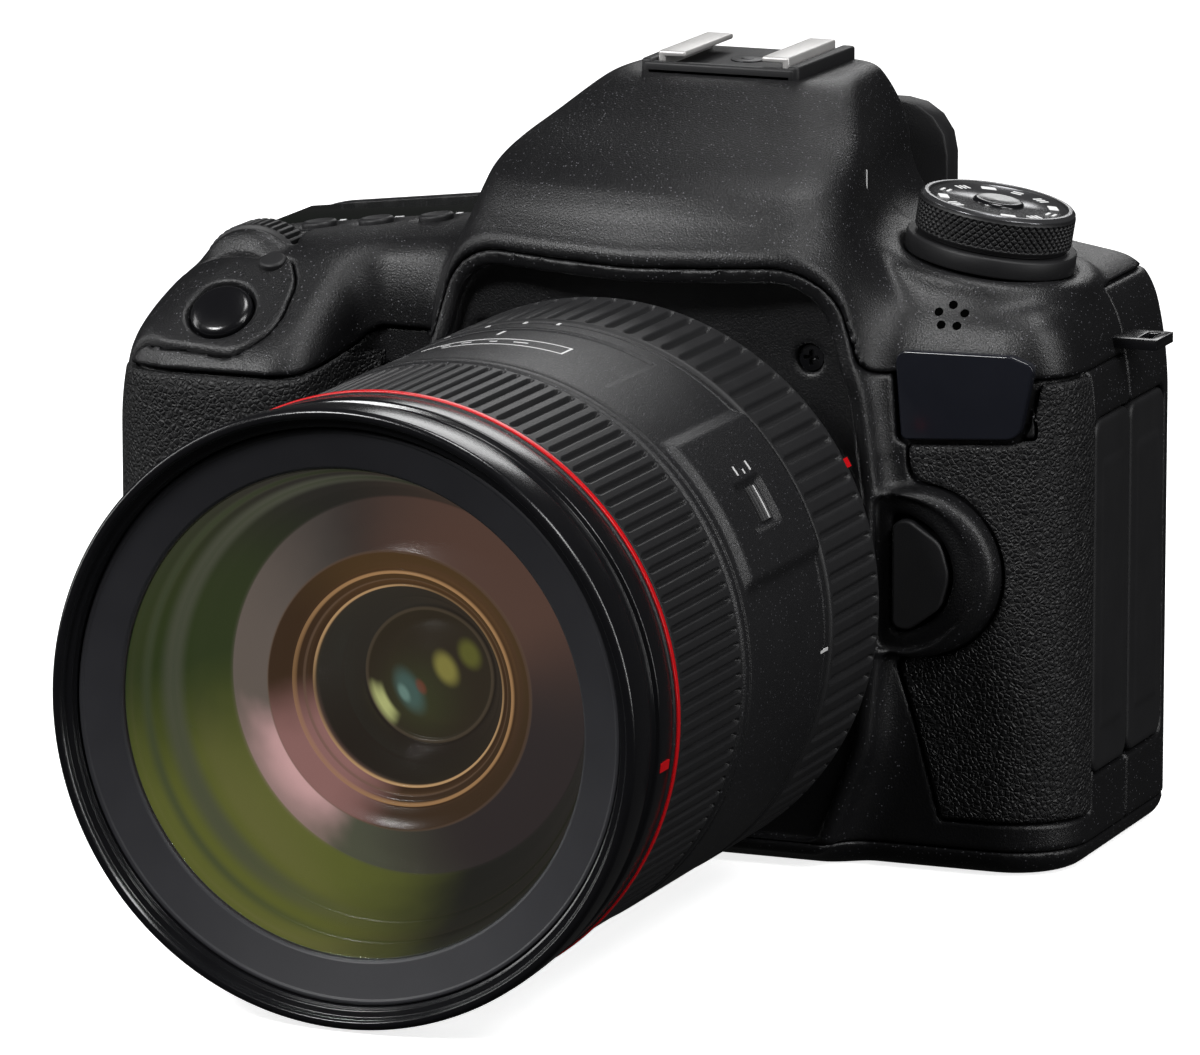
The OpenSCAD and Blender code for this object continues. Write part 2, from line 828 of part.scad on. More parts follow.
module mode_dial() {
    hub = 5;
    color("#1d1d1e") difference() {
        union() {
            on_dial(3.6) cylinder(r = mode_r, h = mode_h);
            on_dial(-wall - 2) cylinder(r = hub, h = wall + 6);
            on_dial(-wall - 2.6) cylinder(r = hub + 1.5, h = 1.6);
        }
        on_dial(4.6) cylinder(r = 4 + gap, h = mode_h + 5);
    }
}

module mode_lock_button() {
    color("#1d1d1e") on_dial(5.8) cylinder(r = 4, h = mode_h - 1.6);
}

module power_switch() {
    color("#1d1d1e") on_dial(0.5) {
        ring(mode_r + 1, 5 + 0.1, 2.9);
        rotate([0, 0, 115]) translate([mode_r, -2.5, 0]) cube([5.5, 5, 2.9]);
    }
}

// Control on the rear face, z backwards
module on_rear(x, z) {
    translate([x, rear_y, z]) rotate([-90, 0, 0]) children();
}

module quick_dial() {
    color("#1d1d1e") on_rear(quick_x, quick_z) {
        translate([0, 0, 0.3]) ring(quick_r, set_r + gap, 3);
        translate([0, 0, -wall - 1]) ring(11, set_r + gap, wall + 1.4);
        translate([0, 0, -wall - 2]) ring(12.2, set_r + gap, 1.5);
    }
}

module set_button() {
    color("#1d1d1e") on_rear(quick_x, quick_z) translate([0, 0, -wall]) cylinder(r = set_r, h = wall + 2.4);
}

module joystick() {
    color("#1d1d1e") on_rear(stick_x, stick_z) {
        translate([0, 0, 1.2]) cylinder(r = 4, h = 2.6);
        translate([0, 0, -wall - 2]) cylinder(r = 1.5, h = wall + 3.4);
    }
}

module live_view_switch() {
    color("#1d1d1e") on_rear(start_x, start_z) {
        translate([0, 0, 0.3]) ring(8.4, start_r + gap, 1.8);
        rotate([0, 0, 200]) translate([7.6, -1.8, 0.3]) cube([3.2, 3.6, 2.4]);
    }
}

module start_button() {
    color("#1d1d1e") on_rear(start_x, start_z) button(start_r, 1.4);
}

module rear_button(x, z, r = rear_button_r) {
    color("#1d1d1e") on_rear(x, z) button(r, 1);
}

module front_terminal_cover() {
    color("#171718") span([terminal_side - door_t, terminal_y, terminal_z],
        [terminal_side, split_y - gap / 2, terminal_z + terminal_h]);
}

module rear_terminal_cover() {
    color("#171718") span([terminal_side - door_t, split_y + gap / 2, terminal_z],
        [terminal_side, terminal_end, terminal_z + terminal_h]);
}

module release_button() {
    color("#1a1a1b") {
        on_release(-1) half_disc(release_r, wall + boss_proud + 1);
        on_release(-1) translate([-1, 0, 0]) half_disc(release_r + 1.6, 0.9);
    }
}

module preview_button() {
    color("#1a1a1b") translate([preview_x, recess_y, preview_z]) rotate([90, 0, 0]) button(3, 1.2);
}

module battery_door_zone(grow = 0) {
    translate([battery_cx - battery_x / 2 - 2 - grow, battery_cy - battery_y / 2 - 1 - grow, 0.2 - 5 * grow])
        cube([battery_x + 4 + 2 * grow, battery_y + 2 + 2 * grow, 2.4 + 20 * grow]);
}

module battery_door() {
    color("#1c1c1d") battery_door_zone();
}

module card_door() {
    color("#1c1c1d") span([-grip_side, card_y - card_len, card_z],
        [-grip_side + door_t, card_y, card_z + card_h]);
}

module main_mirror() {
    color("#c4c8cc") translate([0, mirror_y - 3, mirror_z]) rotate([45, 0, 0])
        translate([-mirror_w / 2, -mirror_len, -1]) cube([mirror_w, mirror_len, 1.6]);
}

module shutter_curtain() {
    color("#3c3c3e") span([-image_w / 2 - 2, box_back + 1, axis_z - image_h / 2 - 1],
        [image_w / 2 + 2, box_back + 1.8, axis_z + image_h / 2 + 1]);
}

module diopter_knob() {
    color("#1d1d1e") translate([-hump_foot + 4, rear_y - 4, diopter_z]) rotate([0, 90, 0])
        cylinder(r = 4, h = 7);
}

module eyecup() {
    corners = [[eyecup_half, -eyecup_h / 2, 8], [eyecup_half, eyecup_h / 2, 8],
        [-eyecup_half, eyecup_h / 2, 8], [-eyecup_half, -eyecup_h / 2, 8]];
    color("#141415") difference() {
        translate([0, 0, eyepiece_z]) along_y(outline(corners), eyepiece_y + 0.2, eyepiece_y + 0.2 + eyecup_t);
        span([-13, eyepiece_y - 1, eyepiece_z - 8], [13, eyepiece_y + 9, eyepiece_z + 8]);
    }
}

module lens_mount() {
    color("#c9cacc") {
        on_lens(run) ring(mount_r, bayonet_r, 2);
        on_lens(-4) ring(throat_r - 1, bayonet_r, 4 + run);
    }
}

// Turns children round the lens axis, from the +X side towards the top
module round_lens(angle) {
    translate([0, 0, axis_z]) rotate([0, -angle, 0]) translate([0, 0, -axis_z]) children();
}

module switch_zone(grow = 0) {
    round_lens(30) span([core_r, flange_y - 54 - grow, axis_z - 4 - grow],
        [rim_r - 0.3, flange_y - 46 + grow, axis_z + 4 + grow]);
}

module window_zone(grow = 0) {
    intersection() {
        on_lens(zoom_end + 7 - grow) ring(collar_r, collar_r - 1 - grow, 10 + 2 * grow);
        span([-11 - grow, -big, axis_z], [11 + grow, 0, big]);
    }
}

module lens_barrel() {
    profile = [[28, 2 + run], [33.5, 2 + run], [37.6, 5], [38.4, 9], [collar_r - 1.2, zoom_start - 0.8],
        [collar_r - 1.2, zoom_start - 0.2], [core_r, zoom_start - 0.2], [core_r, zoom_end + 0.2],
        [collar_r, zoom_end + 0.2], [collar_r, focus_start - 0.2], [core_r, focus_start - 0.2],
        [core_r, focus_end + 0.2], [collar_r + 0.4, focus_end + 0.2], [collar_r + 0.4, nose_end],
        [slide_r, nose_end], [slide_r, sleeve_start - 2], [34, sleeve_start - 2], [34, 6], [28, 6]];
    color("#1b1b1c") difference() {
        union() {
            on_lens() rotate_extrude() polygon(profile);
            round_lens(30) intersection() {
                span([collar_r - 2, flange_y - 58, axis_z - 12], [rim_r - 0.8, flange_y - 42, axis_z + 12]);
                on_lens(zoom_end + 0.2) ring(rim_r - 0.8 + 2, collar_r - 0.5, collar_w - 0.4);
            }
        }
        round_lens(30) span([core_r + 0.2, flange_y - 54.5, axis_z - 3.4], [rim_r + 1, flange_y - 45.5, axis_z + 3.4]);
        window_zone(0.05);
    }
}

module zoom_ring() {
    color("#151516") on_lens(zoom_start) ring(collar_r, core_r + run, zoom_w);
}

module focus_ring() {
    color("#151516") on_lens(focus_start) ring(collar_r - 0.3, core_r + run, focus_w);
}

module front_barrel() {
    head = nose_end + 0.3;
    cone = thread_back - 4;
    sleeve = slide_r - 2 * run;
    profile = [[glass_r + run, sleeve_start], [sleeve, sleeve_start], [sleeve, head], [rim_r - 0.6, head],
        [rim_r, head + 1], [rim_r, lens_len], [filter_r, lens_len], [filter_r, thread_back],
        [glass_r + run, cone]];
    color("#1b1b1c") on_lens() rotate_extrude() polygon(profile);
}

// Lens element, z forward: a disc with a domed front
module element(r, thickness, dome) {
    rotate_extrude() polygon(concat([[0, 0], [r, 0], [r, thickness]],
        [for (i = [1:8]) [r * (1 - i / 8), thickness + dome * (1 - pow(1 - i / 8, 2))]]));
}

module front_optics() {
    color("#5c6470") {
        on_lens(thread_back - 11) element(glass_r, 4, 3.4);
        on_lens(thread_back - 22) element(glass_r - 3, 3, 1.5);
        on_lens(thread_back - 22) ring(glass_r, glass_r - 2.9, 3);
    }
}

module rear_optics() {
    color("#5c6470") {
        on_lens(8) ring(34 - run, 24, 3);
        on_lens(4) element(24 - run, 3.5, 2);
        on_lens(24) ring(34 - run, 26, 3);
        on_lens(24) element(26 - run, 3, 2);
    }
}

module focus_group() {
    color("#5c6470") {
        on_lens(58) ring(33, 28, 8);
        on_lens(60) element(28 - run, 3, 2);
    }
}

module af_switch() {
    color("#1b1b1c") round_lens(30) span([core_r + 0.6, flange_y - 54.2, axis_z - 3], [rim_r - 0.1, flange_y - 49.6, axis_z + 3]);
}

module distance_window() {
    color("#20262b") window_zone();
}

bottom_cover();
front_cover();
rear_cover();
top_cover();
grip_rubber();
front_leather();
name_plate();
cover_screws();
strap_lugs();
hot_shoe();
mirror_box();
body_mount();
pentaprism();
eyepiece();
image_sensor();
main_board();
rear_screen();
top_screen();
battery();
shutter_button();
main_dial();
function_button();
deck_button(light_x, 2.2);  // light_button
deck_button(metering_x, deck_button_r);  // metering_button
deck_button(drive_x, deck_button_r);  // drive_button
deck_button(iso_x, deck_button_r);  // iso_button
mode_dial();
mode_lock_button();
power_switch();
quick_dial();
set_button();
joystick();
live_view_switch();
start_button();
rear_button(af_on_x, thumb_row_z, rear_button_r + 0.6);  // af_on_button
rear_button(ae_lock_x, thumb_row_z);  // ae_lock_button
rear_button(column_x, menu_z);  // menu_button
rear_button(column_x - 11, menu_z);  // info_button
rear_button(column_x, playback_z);  // playback_button
rear_button(column_x, erase_z);  // erase_button
front_terminal_cover();
rear_terminal_cover();
release_button();
preview_button();
battery_door();
card_door();
main_mirror();
shutter_curtain();
diopter_knob();
eyecup();
lens_mount();
lens_barrel();
zoom_ring();
focus_ring();
front_barrel();
front_optics();
rear_optics();
focus_group();
af_switch();
distance_window();
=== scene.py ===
import json
import math
import bpy
import numpy as np
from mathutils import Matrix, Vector

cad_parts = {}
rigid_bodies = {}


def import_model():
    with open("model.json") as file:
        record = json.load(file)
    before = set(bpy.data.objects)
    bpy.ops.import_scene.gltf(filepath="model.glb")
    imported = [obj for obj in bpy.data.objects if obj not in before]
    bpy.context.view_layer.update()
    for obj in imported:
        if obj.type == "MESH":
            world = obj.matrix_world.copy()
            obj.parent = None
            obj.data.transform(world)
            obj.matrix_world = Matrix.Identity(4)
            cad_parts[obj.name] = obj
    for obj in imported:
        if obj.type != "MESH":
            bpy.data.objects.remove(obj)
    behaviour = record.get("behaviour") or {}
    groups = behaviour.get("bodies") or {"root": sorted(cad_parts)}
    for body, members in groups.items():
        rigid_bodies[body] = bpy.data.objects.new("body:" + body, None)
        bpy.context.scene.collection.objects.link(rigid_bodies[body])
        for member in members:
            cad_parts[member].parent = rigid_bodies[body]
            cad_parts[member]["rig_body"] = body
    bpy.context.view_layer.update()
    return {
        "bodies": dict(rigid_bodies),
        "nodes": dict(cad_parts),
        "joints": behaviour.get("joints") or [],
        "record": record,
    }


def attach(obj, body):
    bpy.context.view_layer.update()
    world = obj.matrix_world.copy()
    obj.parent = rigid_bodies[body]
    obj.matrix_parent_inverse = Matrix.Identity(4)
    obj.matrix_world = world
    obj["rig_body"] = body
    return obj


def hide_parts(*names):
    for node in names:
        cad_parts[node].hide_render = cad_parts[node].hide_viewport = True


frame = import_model()
mm = 0.001
scene = bpy.context.scene
scene.view_settings.view_transform = "Standard"

# camera
cameraSet = {"azimuth": 21.9, "elevation": 11.7, "distance": 1.380, "lens": 277.4,
             "target": (-0.0045, -0.0308, 0.0510), "shift": (0.0, 0.0)}


def makeCamera(s):
    data = bpy.data.cameras.new("camera")
    data.lens, data.sensor_width = s["lens"], 36
    data.shift_x, data.shift_y = s["shift"]
    data.clip_start, data.clip_end = 0.05, 20
    cam = bpy.data.objects.new("camera", data)
    scene.collection.objects.link(cam)
    a, e = math.radians(s["azimuth"]), math.radians(s["elevation"])
    back = Vector((math.sin(a) * math.cos(e), -math.cos(a) * math.cos(e), math.sin(e)))
    cam.location = Vector(s["target"]) + back * s["distance"]
    cam.rotation_euler = (-back).to_track_quat("-Z", "Y").to_euler()
    scene.camera = cam


makeCamera(cameraSet)

# shared sizes, millimetres
body = {"gripSide": 87.0, "terminalSide": 65.5, "rearY": 32.0, "frontY": -20.0, "gripY": -32.0,
        "recessY": -13.0, "recessX": -50.0, "splitY": 8.5, "axisZ": 44.6, "flangeY": -26.0,
        "deckLow": 86.2, "deckDial": 91.0, "facetLow": 71.0, "humpTop": 114.0, "rim": 2.3,
        "recessFloor": -23.4, "baseRim": 4.0,
        "gap": 0.22}


# numpy tools
def smoothMax(a, b, k):
    # larger of two fields, rounded over the width k where they are equal
    h = np.maximum(k - np.abs(a - b), 0) / k
    return np.maximum(a, b) + h * h * k * 0.25


def smoothMin(a, b, k):
    return -smoothMax(-a, -b, k)


def ramp(x, low, high):
    t = np.clip((x - low) / (high - low), 0, 1)
    return t * t * (3 - 2 * t)


def filletOutline(corners, steps=10):
    # corners [x, y, radius] anticlockwise, each replaced by an arc of its radius
    out, n = [], len(corners)
    for i in range(n):
        p, q, s = (np.array(corners[j % n][:2], float) for j in (i - 1, i, i + 1))
        r = corners[i][2]
        a, b = (p - q) / np.linalg.norm(p - q), (s - q) / np.linalg.norm(s - q)
        half = math.acos(np.clip(a @ b, -1, 1)) / 2
        centre = q + (a + b) / np.linalg.norm(a + b) * r / math.sin(half)
        d0, d1 = q + a * r / math.tan(half) - centre, q + b * r / math.tan(half) - centre
        t0 = math.atan2(d0[1], d0[0])
        turn = (math.atan2(d1[1], d1[0]) - t0 + 3 * math.pi) % (2 * math.pi) - math.pi
        t = t0 + turn * np.arange(steps + 1) / steps
        out.append(centre + r * np.stack([np.cos(t), np.sin(t)], 1))
    return np.concatenate(out)


class Outline:
    # signed distance to a closed outline, negative inside, kept as a table and read between its points

    def __init__(self, corners, margin=16, step=0.25, blur=0):
        pts = filletOutline(corners)
        self.step, self.low = step, pts.min(0) - margin
        n = np.ceil((pts.max(0) + margin - self.low) / step).astype(int) + 1
        x = self.low[0] + step * np.arange(n[0])[:, None]
        y = self.low[1] + step * np.arange(n[1])[None, :]
        best = np.full(n, 1e9)
        inside = np.zeros(n, bool)
        for p, q in zip(pts, np.roll(pts, -1, 0)):
            d = q - p
            if d @ d < 1e-9:
                continue
            t = np.clip(((x - p[0]) * d[0] + (y - p[1]) * d[1]) / (d @ d), 0, 1)
            best = np.minimum(best, (x - p[0] - t * d[0]) ** 2 + (y - p[1] - t * d[1]) ** 2)
            if p[1] != q[1]:
                crosses = (y > p[1]) != (y > q[1])
                inside ^= crosses & (x < p[0] + (y - p[1]) * d[0] / d[1])
        self.table = np.where(inside, -1, 1) * np.sqrt(best)
        for _ in range(blur):
            t = np.pad(self.table, 1, mode="edge")
            self.table = (t[:-2, 1:-1] + t[2:, 1:-1] + t[1:-1, :-2] + t[1:-1, 2:] + 4 * self.table) / 8

    def __call__(self, x, y):
        x, y = np.broadcast_arrays(x, y)
        u = np.clip((x - self.low[0]) / self.step, 0, self.table.shape[0] - 1.001)
        v = np.clip((y - self.low[1]) / self.step, 0, self.table.shape[1] - 1.001)
        i, j = u.astype(int), v.astype(int)
        u, v = u - i, v - j
        t = self.table
        return ((t[i, j] * (1 - u) + t[i + 1, j] * u) * (1 - v)
                + (t[i, j + 1] * (1 - u) + t[i + 1, j + 1] * u) * v)


class Profile:
    # smooth curve through the given points, as a dense table

    def __init__(self, at, values, soften=2.0):
        self.x = np.linspace(at[0] - 8, at[-1] + 8, 800)
        y = np.interp(self.x, at, values)
        width = max(int(soften / (self.x[1] - self.x[0])), 1)
        kernel = np.hanning(2 * width + 3)
        padded = np.pad(y, width + 1, mode="edge")
        self.y = np.convolve(padded, kernel / kernel.sum(), mode="same")[width + 1:-width - 1]

    def __call__(self, x):
        return np.interp(x, self.x, self.y)


def meshPiece(name, points, faces, smooth=True):
    # mesh from points in millimetres and an array of quads or a list of face lists
    mesh = bpy.data.meshes.new(name)
    mesh.from_pydata((np.asarray(points, float) * mm).tolist(), [],
                     faces.tolist() if isinstance(faces, np.ndarray) else faces)
    mesh.validate()
    if smooth:
        mesh.shade_smooth()
    ob = bpy.data.objects.new(name, mesh)
    scene.collection.objects.link(ob)
    return ob


def netPoints(field, low, high, cell):
    # One point in each grid cell that the field's zero surface crosses, at the mean of its edge
    # crossings, and a quad round each crossed grid edge; the points then slide along the gradient onto
    # the surface.
    low, high = np.array(low, float), np.array(high, float)
    n = np.ceil((high - low) / cell).astype(int) + 1
    axes = [low[a] + cell * np.arange(n[a]) for a in range(3)]
    f = field(axes[0][:, None, None], axes[1][None, :, None], axes[2][None, None, :])
    f = np.broadcast_to(f, n).astype(np.float32)
    f = np.where(f == 0, np.float32(1e-6), f)
    s = f < 0
    corner = [(i, j, k) for i in (0, 1) for j in (0, 1) for k in (0, 1)]
    count = sum(s[i:n[0] - 1 + i, j:n[1] - 1 + j, k:n[2] - 1 + k].astype(np.int8) for i, j, k in corner)
    active = (count > 0) & (count < 8)
    index = np.full(active.shape, -1)
    cells = np.argwhere(active)
    index[active] = np.arange(len(cells))
    total, hits = np.zeros((len(cells), 3)), np.zeros(len(cells))
    for a in corner:
        for axis in range(3):
            if a[axis]:
                continue
            b = tuple(1 if m == axis else a[m] for m in range(3))
            fa = f[tuple((cells + a).T)].astype(float)
            fb = f[tuple((cells + b).T)].astype(float)
            cut = (fa < 0) != (fb < 0)
            t = np.where(cut, fa / np.where(cut, fa - fb, 1), 0)
            total += np.where(cut, 1, 0)[:, None] * (np.array(a) + t[:, None] * (np.array(b) - np.array(a)))
            hits += cut
    points = low + cell * (cells + total / hits[:, None])
    quads = []
    for axis in range(3):
        u, v = (axis + 1) % 3, (axis + 2) % 3
        first = [slice(1, -1)] * 3
        first[axis] = slice(0, -1)
        second = list(first)
        second[axis] = slice(1, None)
        sa, sb = s[tuple(first)], s[tuple(second)]
        e = np.argwhere(sa != sb) + np.array([0 if m == axis else 1 for m in range(3)])
        outward = s[tuple(e.T)]
        du, dv = np.eye(3, dtype=int)[u], np.eye(3, dtype=int)[v]
        ring = np.stack([index[tuple((e - du - dv).T)], index[tuple((e - dv).T)],
                         index[tuple(e.T)], index[tuple((e - du).T)]], 1)
        quads.append(np.where(outward[:, None], ring, ring[:, ::-1]))
    return points, np.concatenate(quads)


def neighbourMean(points, quads):
    total, count = np.zeros_like(points), np.zeros(len(points))
    for a, b in ((0, 1), (1, 2), (2, 3), (3, 0)):
        for p, q in ((a, b), (b, a)):
            for m in range(3):
                total[:, m] += np.bincount(quads[:, p], points[quads[:, q], m], len(points))
            count += np.bincount(quads[:, p], minlength=len(points))
    return total / np.maximum(count, 1)[:, None]


def slide(points, field, reach, rounds):
    # moves each point down the field's gradient to where the field is nought
    h = 0.04
    for _ in range(rounds):
        x, y, z = points.T
        f = field(x, y, z)
        g = np.stack([field(x + h, y, z) - field(x - h, y, z), field(x, y + h, z) - field(x, y - h, z),
                      field(x, y, z + h) - field(x, y, z - h)], 1) / (2 * h)
        step = f[:, None] * g / np.maximum((g * g).sum(1), 0.05)[:, None]
        size = np.linalg.norm(step, axis=1)
        points = points - step * np.minimum(1, reach / np.maximum(size, 1e-9))[:, None]
    return points


def netPiece(name, field, low, high, cell, relax=2):
    points, quads = netPoints(field, low, high, cell)
    points = slide(points, field, cell * 0.5, 2)
    for _ in range(relax):
        points = points + 0.5 * (neighbourMean(points, quads) - points)
        points = slide(points, field, cell * 0.5, 2)
    print("net", name, len(points), "points")
    return meshPiece(name, points, quads)


def gridFaces(rows, columns, around=False, flip=False):
    # quads of a rows x columns grid of points, joined round when it closes on itself
    i = np.arange(rows - 1)[:, None]
    j = np.arange(columns if around else columns - 1)[None, :]
    k = (j + 1) % columns
    q = np.stack([i * columns + j, i * columns + k, (i + 1) * columns + k, (i + 1) * columns + j], -1)
    q = q.reshape(-1, 4)
    return q[:, ::-1] if flip else q


def softProfile(corners, radius=0.25, steps=3):
    # open line of [along, radius] corners with each corner cut by a small arc
    pts = [np.array(c[:2], float) for c in corners]
    out = [pts[0]]
    for i in range(1, len(pts) - 1):
        p, q, s = pts[i - 1], pts[i], pts[i + 1]
        r = corners[i][2] if len(corners[i]) > 2 else radius
        lp, ls = np.linalg.norm(p - q), np.linalg.norm(s - q)
        c = min(r, 0.45 * lp, 0.45 * ls)
        a, b = q + (p - q) / lp * c, q + (s - q) / ls * c
        t = np.linspace(0, 1, steps + 1)[:, None]
        out += list((1 - t) ** 2 * a + 2 * t * (1 - t) * q + t * t * b)
    out.append(pts[-1])
    return np.array(out)


def turned(name, corners, segments=256, radius=0.25, closed=True, shape=None):
    # profile of [forward, radius] corners turned about the lens axis; shape(angle, forward, r) may
    # change r
    line = softProfile(list(corners) + ([corners[0]] if closed else []), radius)
    if closed:
        line = line[:-1]
    angle = np.linspace(0, 2 * math.pi, segments, endpoint=False)
    t, r = line[:, 0][:, None], line[:, 1][:, None]
    rr = r + 0 * angle[None, :]
    if shape is not None:
        rr = shape(angle[None, :], t + 0 * angle[None, :], rr)
    x, z = rr * np.cos(angle), rr * np.sin(angle)
    y = body["flangeY"] - t + 0 * angle[None, :]
    points = np.stack([x, y, body["axisZ"] + z], -1).reshape(-1, 3)
    rows = len(line)
    faces = gridFaces(rows, segments, around=True)
    if closed:
        last = np.arange(segments) + (rows - 1) * segments
        first = np.arange(segments)
        seam = np.stack([last, np.roll(last, -1), np.roll(first, -1), first], 1)
        faces = np.concatenate([faces, seam])
    return meshPiece(name, points, faces)

# the body's shape as one field
b = body
planLine = Outline([[b["terminalSide"], b["rearY"], 7], [-b["gripSide"], b["rearY"], 7],
                    [-b["gripSide"], b["gripY"], 14], [-55, b["gripY"], 8], [b["recessX"], b["recessY"], 5],
                    [-37, b["recessY"], 2], [-34, b["frontY"], 1], [b["terminalSide"], b["frontY"], 12]],
                   blur=8)
creaseLine = Outline([[-28, 4.5, 2], [28, 4.5, 2], [34, 20, 20], [36.4, 44.6, 20], [33, 72, 20],
                      [27.8, 89.6, 8.5],
                      [0, 88.4, 60], [-27.8, 89.6, 8.5], [-33, 72, 20], [-36.4, 44.6, 20], [-34, 20, 20]],
                     blur=1)
apronFront = Profile([0, 60, 72, 80, 86, 92, 96], [-25.2, -25.2, -25.5, -26.6, -28.0, -29.3, -29.4], 3)
humpHalf = Profile([70, 80, 88, 92, 97, 100, 103, 106, 109.6, 112, 113.4, 116],
                   [35.4, 34.3, 32.4, 31.4, 30.4, 30.1, 30.2, 29.4, 27.2, 25.0, 23.0, 16.0], 2)
humpFront = Profile([70, 84, 90, 92.3, 95.3, 98.5, 101.5, 104, 106, 109, 114.2, 116],
                    [-22, -26, -28.6, -29.2, -28.9, -27.6, -25.4, -21.6, -17.0, -9.0, 3, 8], 1.6)
humpBack = Profile([70, 100, 106, 113.4], [36, 36, 34.5, 31], 3)
facetSin, facetCos = math.sin(math.radians(40.7)), math.cos(math.radians(40.7))


def deckHeight(x):
    left = b["deckLow"] + (x + 78) * 0.1205
    right = b["deckDial"] - (x - 34) * 0.1636
    return smoothMin(left, right, 3)


def bodyField(x, y, z):
    # plan outline, deck, finger facet, shoulders and base joined by rounded maxima; then the apron and
    # the prism hump are added by rounded minima
    f = smoothMax(planLine(x, y), z - deckHeight(x), 5 - 1.5 * ramp(-y, 0, 10))
    grip = ramp(-x, 45, 60)
    f = smoothMax(f, -(y + 32) * facetSin + (z - b["facetLow"]) * facetCos, 7 - 3 * grip)
    f = smoothMax(f, ((x - 65.5) * 9 + (z - 77.5) * 4) / 9.85, 5)
    f = smoothMax(f, (-(x + 87) * 15.2 + (z - 71) * 9) / 17.66, 7)
    f = smoothMax(f, -z, 5)
    curve = x * x / 224 * ramp(z, 74, 90)
    crease = creaseLine(x, z)
    apron = smoothMax(crease - b["rim"], (apronFront(z) + curve - y) * 0.97, 1.6)
    f = smoothMin(f, np.maximum(apron, y - 6), 6)
    wide = humpHalf(z)
    wide = wide - (wide - 13) * 0.5 * ramp(y, -26, 30) * ramp(z, 84, 96)
    side = (np.abs(x) - wide) * 0.85
    face = (humpFront(z) + x * x / 200 * (1 + ramp(z, 95, 110)) - y) * 0.8
    hump = smoothMax(smoothMax(side, face, 8), y - humpBack(z), 5)
    hump = smoothMax(hump, z - b["humpTop"], 1.2)
    return smoothMin(f, np.maximum(hump, 70 - z), 8)


release = {"x": 39.6, "z": 46.1, "r": 8.4, "rim": 12.6, "shift": 2.8, "face": -25.2}
throat = {"r": 33.25}
shutter = {"x": -69.5, "y": -23.5, "z": 78.31, "r": 5.0}
modeDial = {"x": 45.0, "y": 2.0, "tilt": 9.29, "z": 91.0 - 11 * 0.1636, "r": 11.9}
mainDial = {"x": -69.5, "y": -8.0, "z": 87.224 + 2.4 - 9.0, "r": 9.0, "w": 6.5}
deckButtons = [(-72.5, 2.2), (-63.5, 2.8), (-54.0, 2.8), (-44.0, 2.8)]
plateLine = Outline([[39.0, 65.4, 1.2], [58.0, 66.6, 3.0], [60.4, 78.2, 1.6], [56.5, 79.8, 5],
                     [38.0, 79.4, 2.0]],
                    margin=8, step=0.1)
fingerLine = Outline([[-89, -24.6, 4], [-77, -28.7, 12], [-64.3, -29.4, 6], [-59.4, -25.0, 6],
                      [-59.2, -18.5, 4],
                      [-61.4, -15.2, 1.6], [-78, -15.0, 5], [-89, -18, 3]],
                     margin=10, step=0.2)


def releaseField(x, y, z):
    # housing of the release button: a disc with a rounded rim, low towards the terminal side
    r = np.sqrt((x - release["x"] - release["shift"]) ** 2 + (z - release["z"]) ** 2)
    face = release["face"] + 0.16 * np.maximum(x - 41, 0)
    return smoothMax(r - release["rim"], face - y, 2.2)


def releaseHole(x, z, grow):
    # the button's half disc, flat on the lens side
    r = np.sqrt((x - release["x"]) ** 2 + (z - release["z"]) ** 2) - release["r"] - grow
    return smoothMax(r, release["x"] - grow - x, 1.2)


def outerField(x, y, z):
    f = bodyField(x, y, z)
    f = smoothMin(f, np.maximum(releaseField(x, y, z), y + 14), 1.6)
    across, up = onDial(x, y, z)
    ledge = smoothMax(np.sqrt(across) - 16.2, up - 0.3, 2.0)
    f = smoothMin(f, np.maximum(ledge, -12 - up), 3.0)
    cowl = np.sqrt((x - mainDial["x"]) ** 2 + (z - mainDial["z"]) ** 2) - 8.5 + 0.36 * (-11.8 - y) ** 2
    f = smoothMin(f, smoothMax(cowl, y + 11.75, 0.8) + 30 * (y < -14.8), 1.2)
    well = np.maximum(creaseLine(x, z), y - b["recessFloor"])
    f = smoothMax(f, -well, 0.5)
    return f


def seamHeight(x, y):
    front = 70 + 5.6 * ramp(x, -55.5, -47)
    return np.where(y < b["splitY"], front, 85)


def topZone(x, y, z):
    # negative where the top cover is: above the joint, and outside the apron's rim
    rim = np.where(y < -2, b["rim"] - creaseLine(x, z), -9)
    return smoothMax(seamHeight(x, y) - z, rim, 2.6)


def onDial(x, y, z):
    # squared distance from the mode dial's tilted axis, and height along it from the deck
    s, c = math.sin(math.radians(modeDial["tilt"])), math.cos(math.radians(modeDial["tilt"]))
    dx, dy, dz = x - modeDial["x"], y - modeDial["y"], z - modeDial["z"]
    along = dx * s + dz * c
    return (dx * c - dz * s) ** 2 + dy ** 2, along


def onFacet(x, y, z, at):
    # squared distance from an axis square to the finger facet, and height along it
    dx, dy, dz = x - at["x"], y - at["y"], z - at["z"]
    along = -dy * facetSin + dz * facetCos
    return dx ** 2 + (dy * facetCos + dz * facetSin) ** 2, along


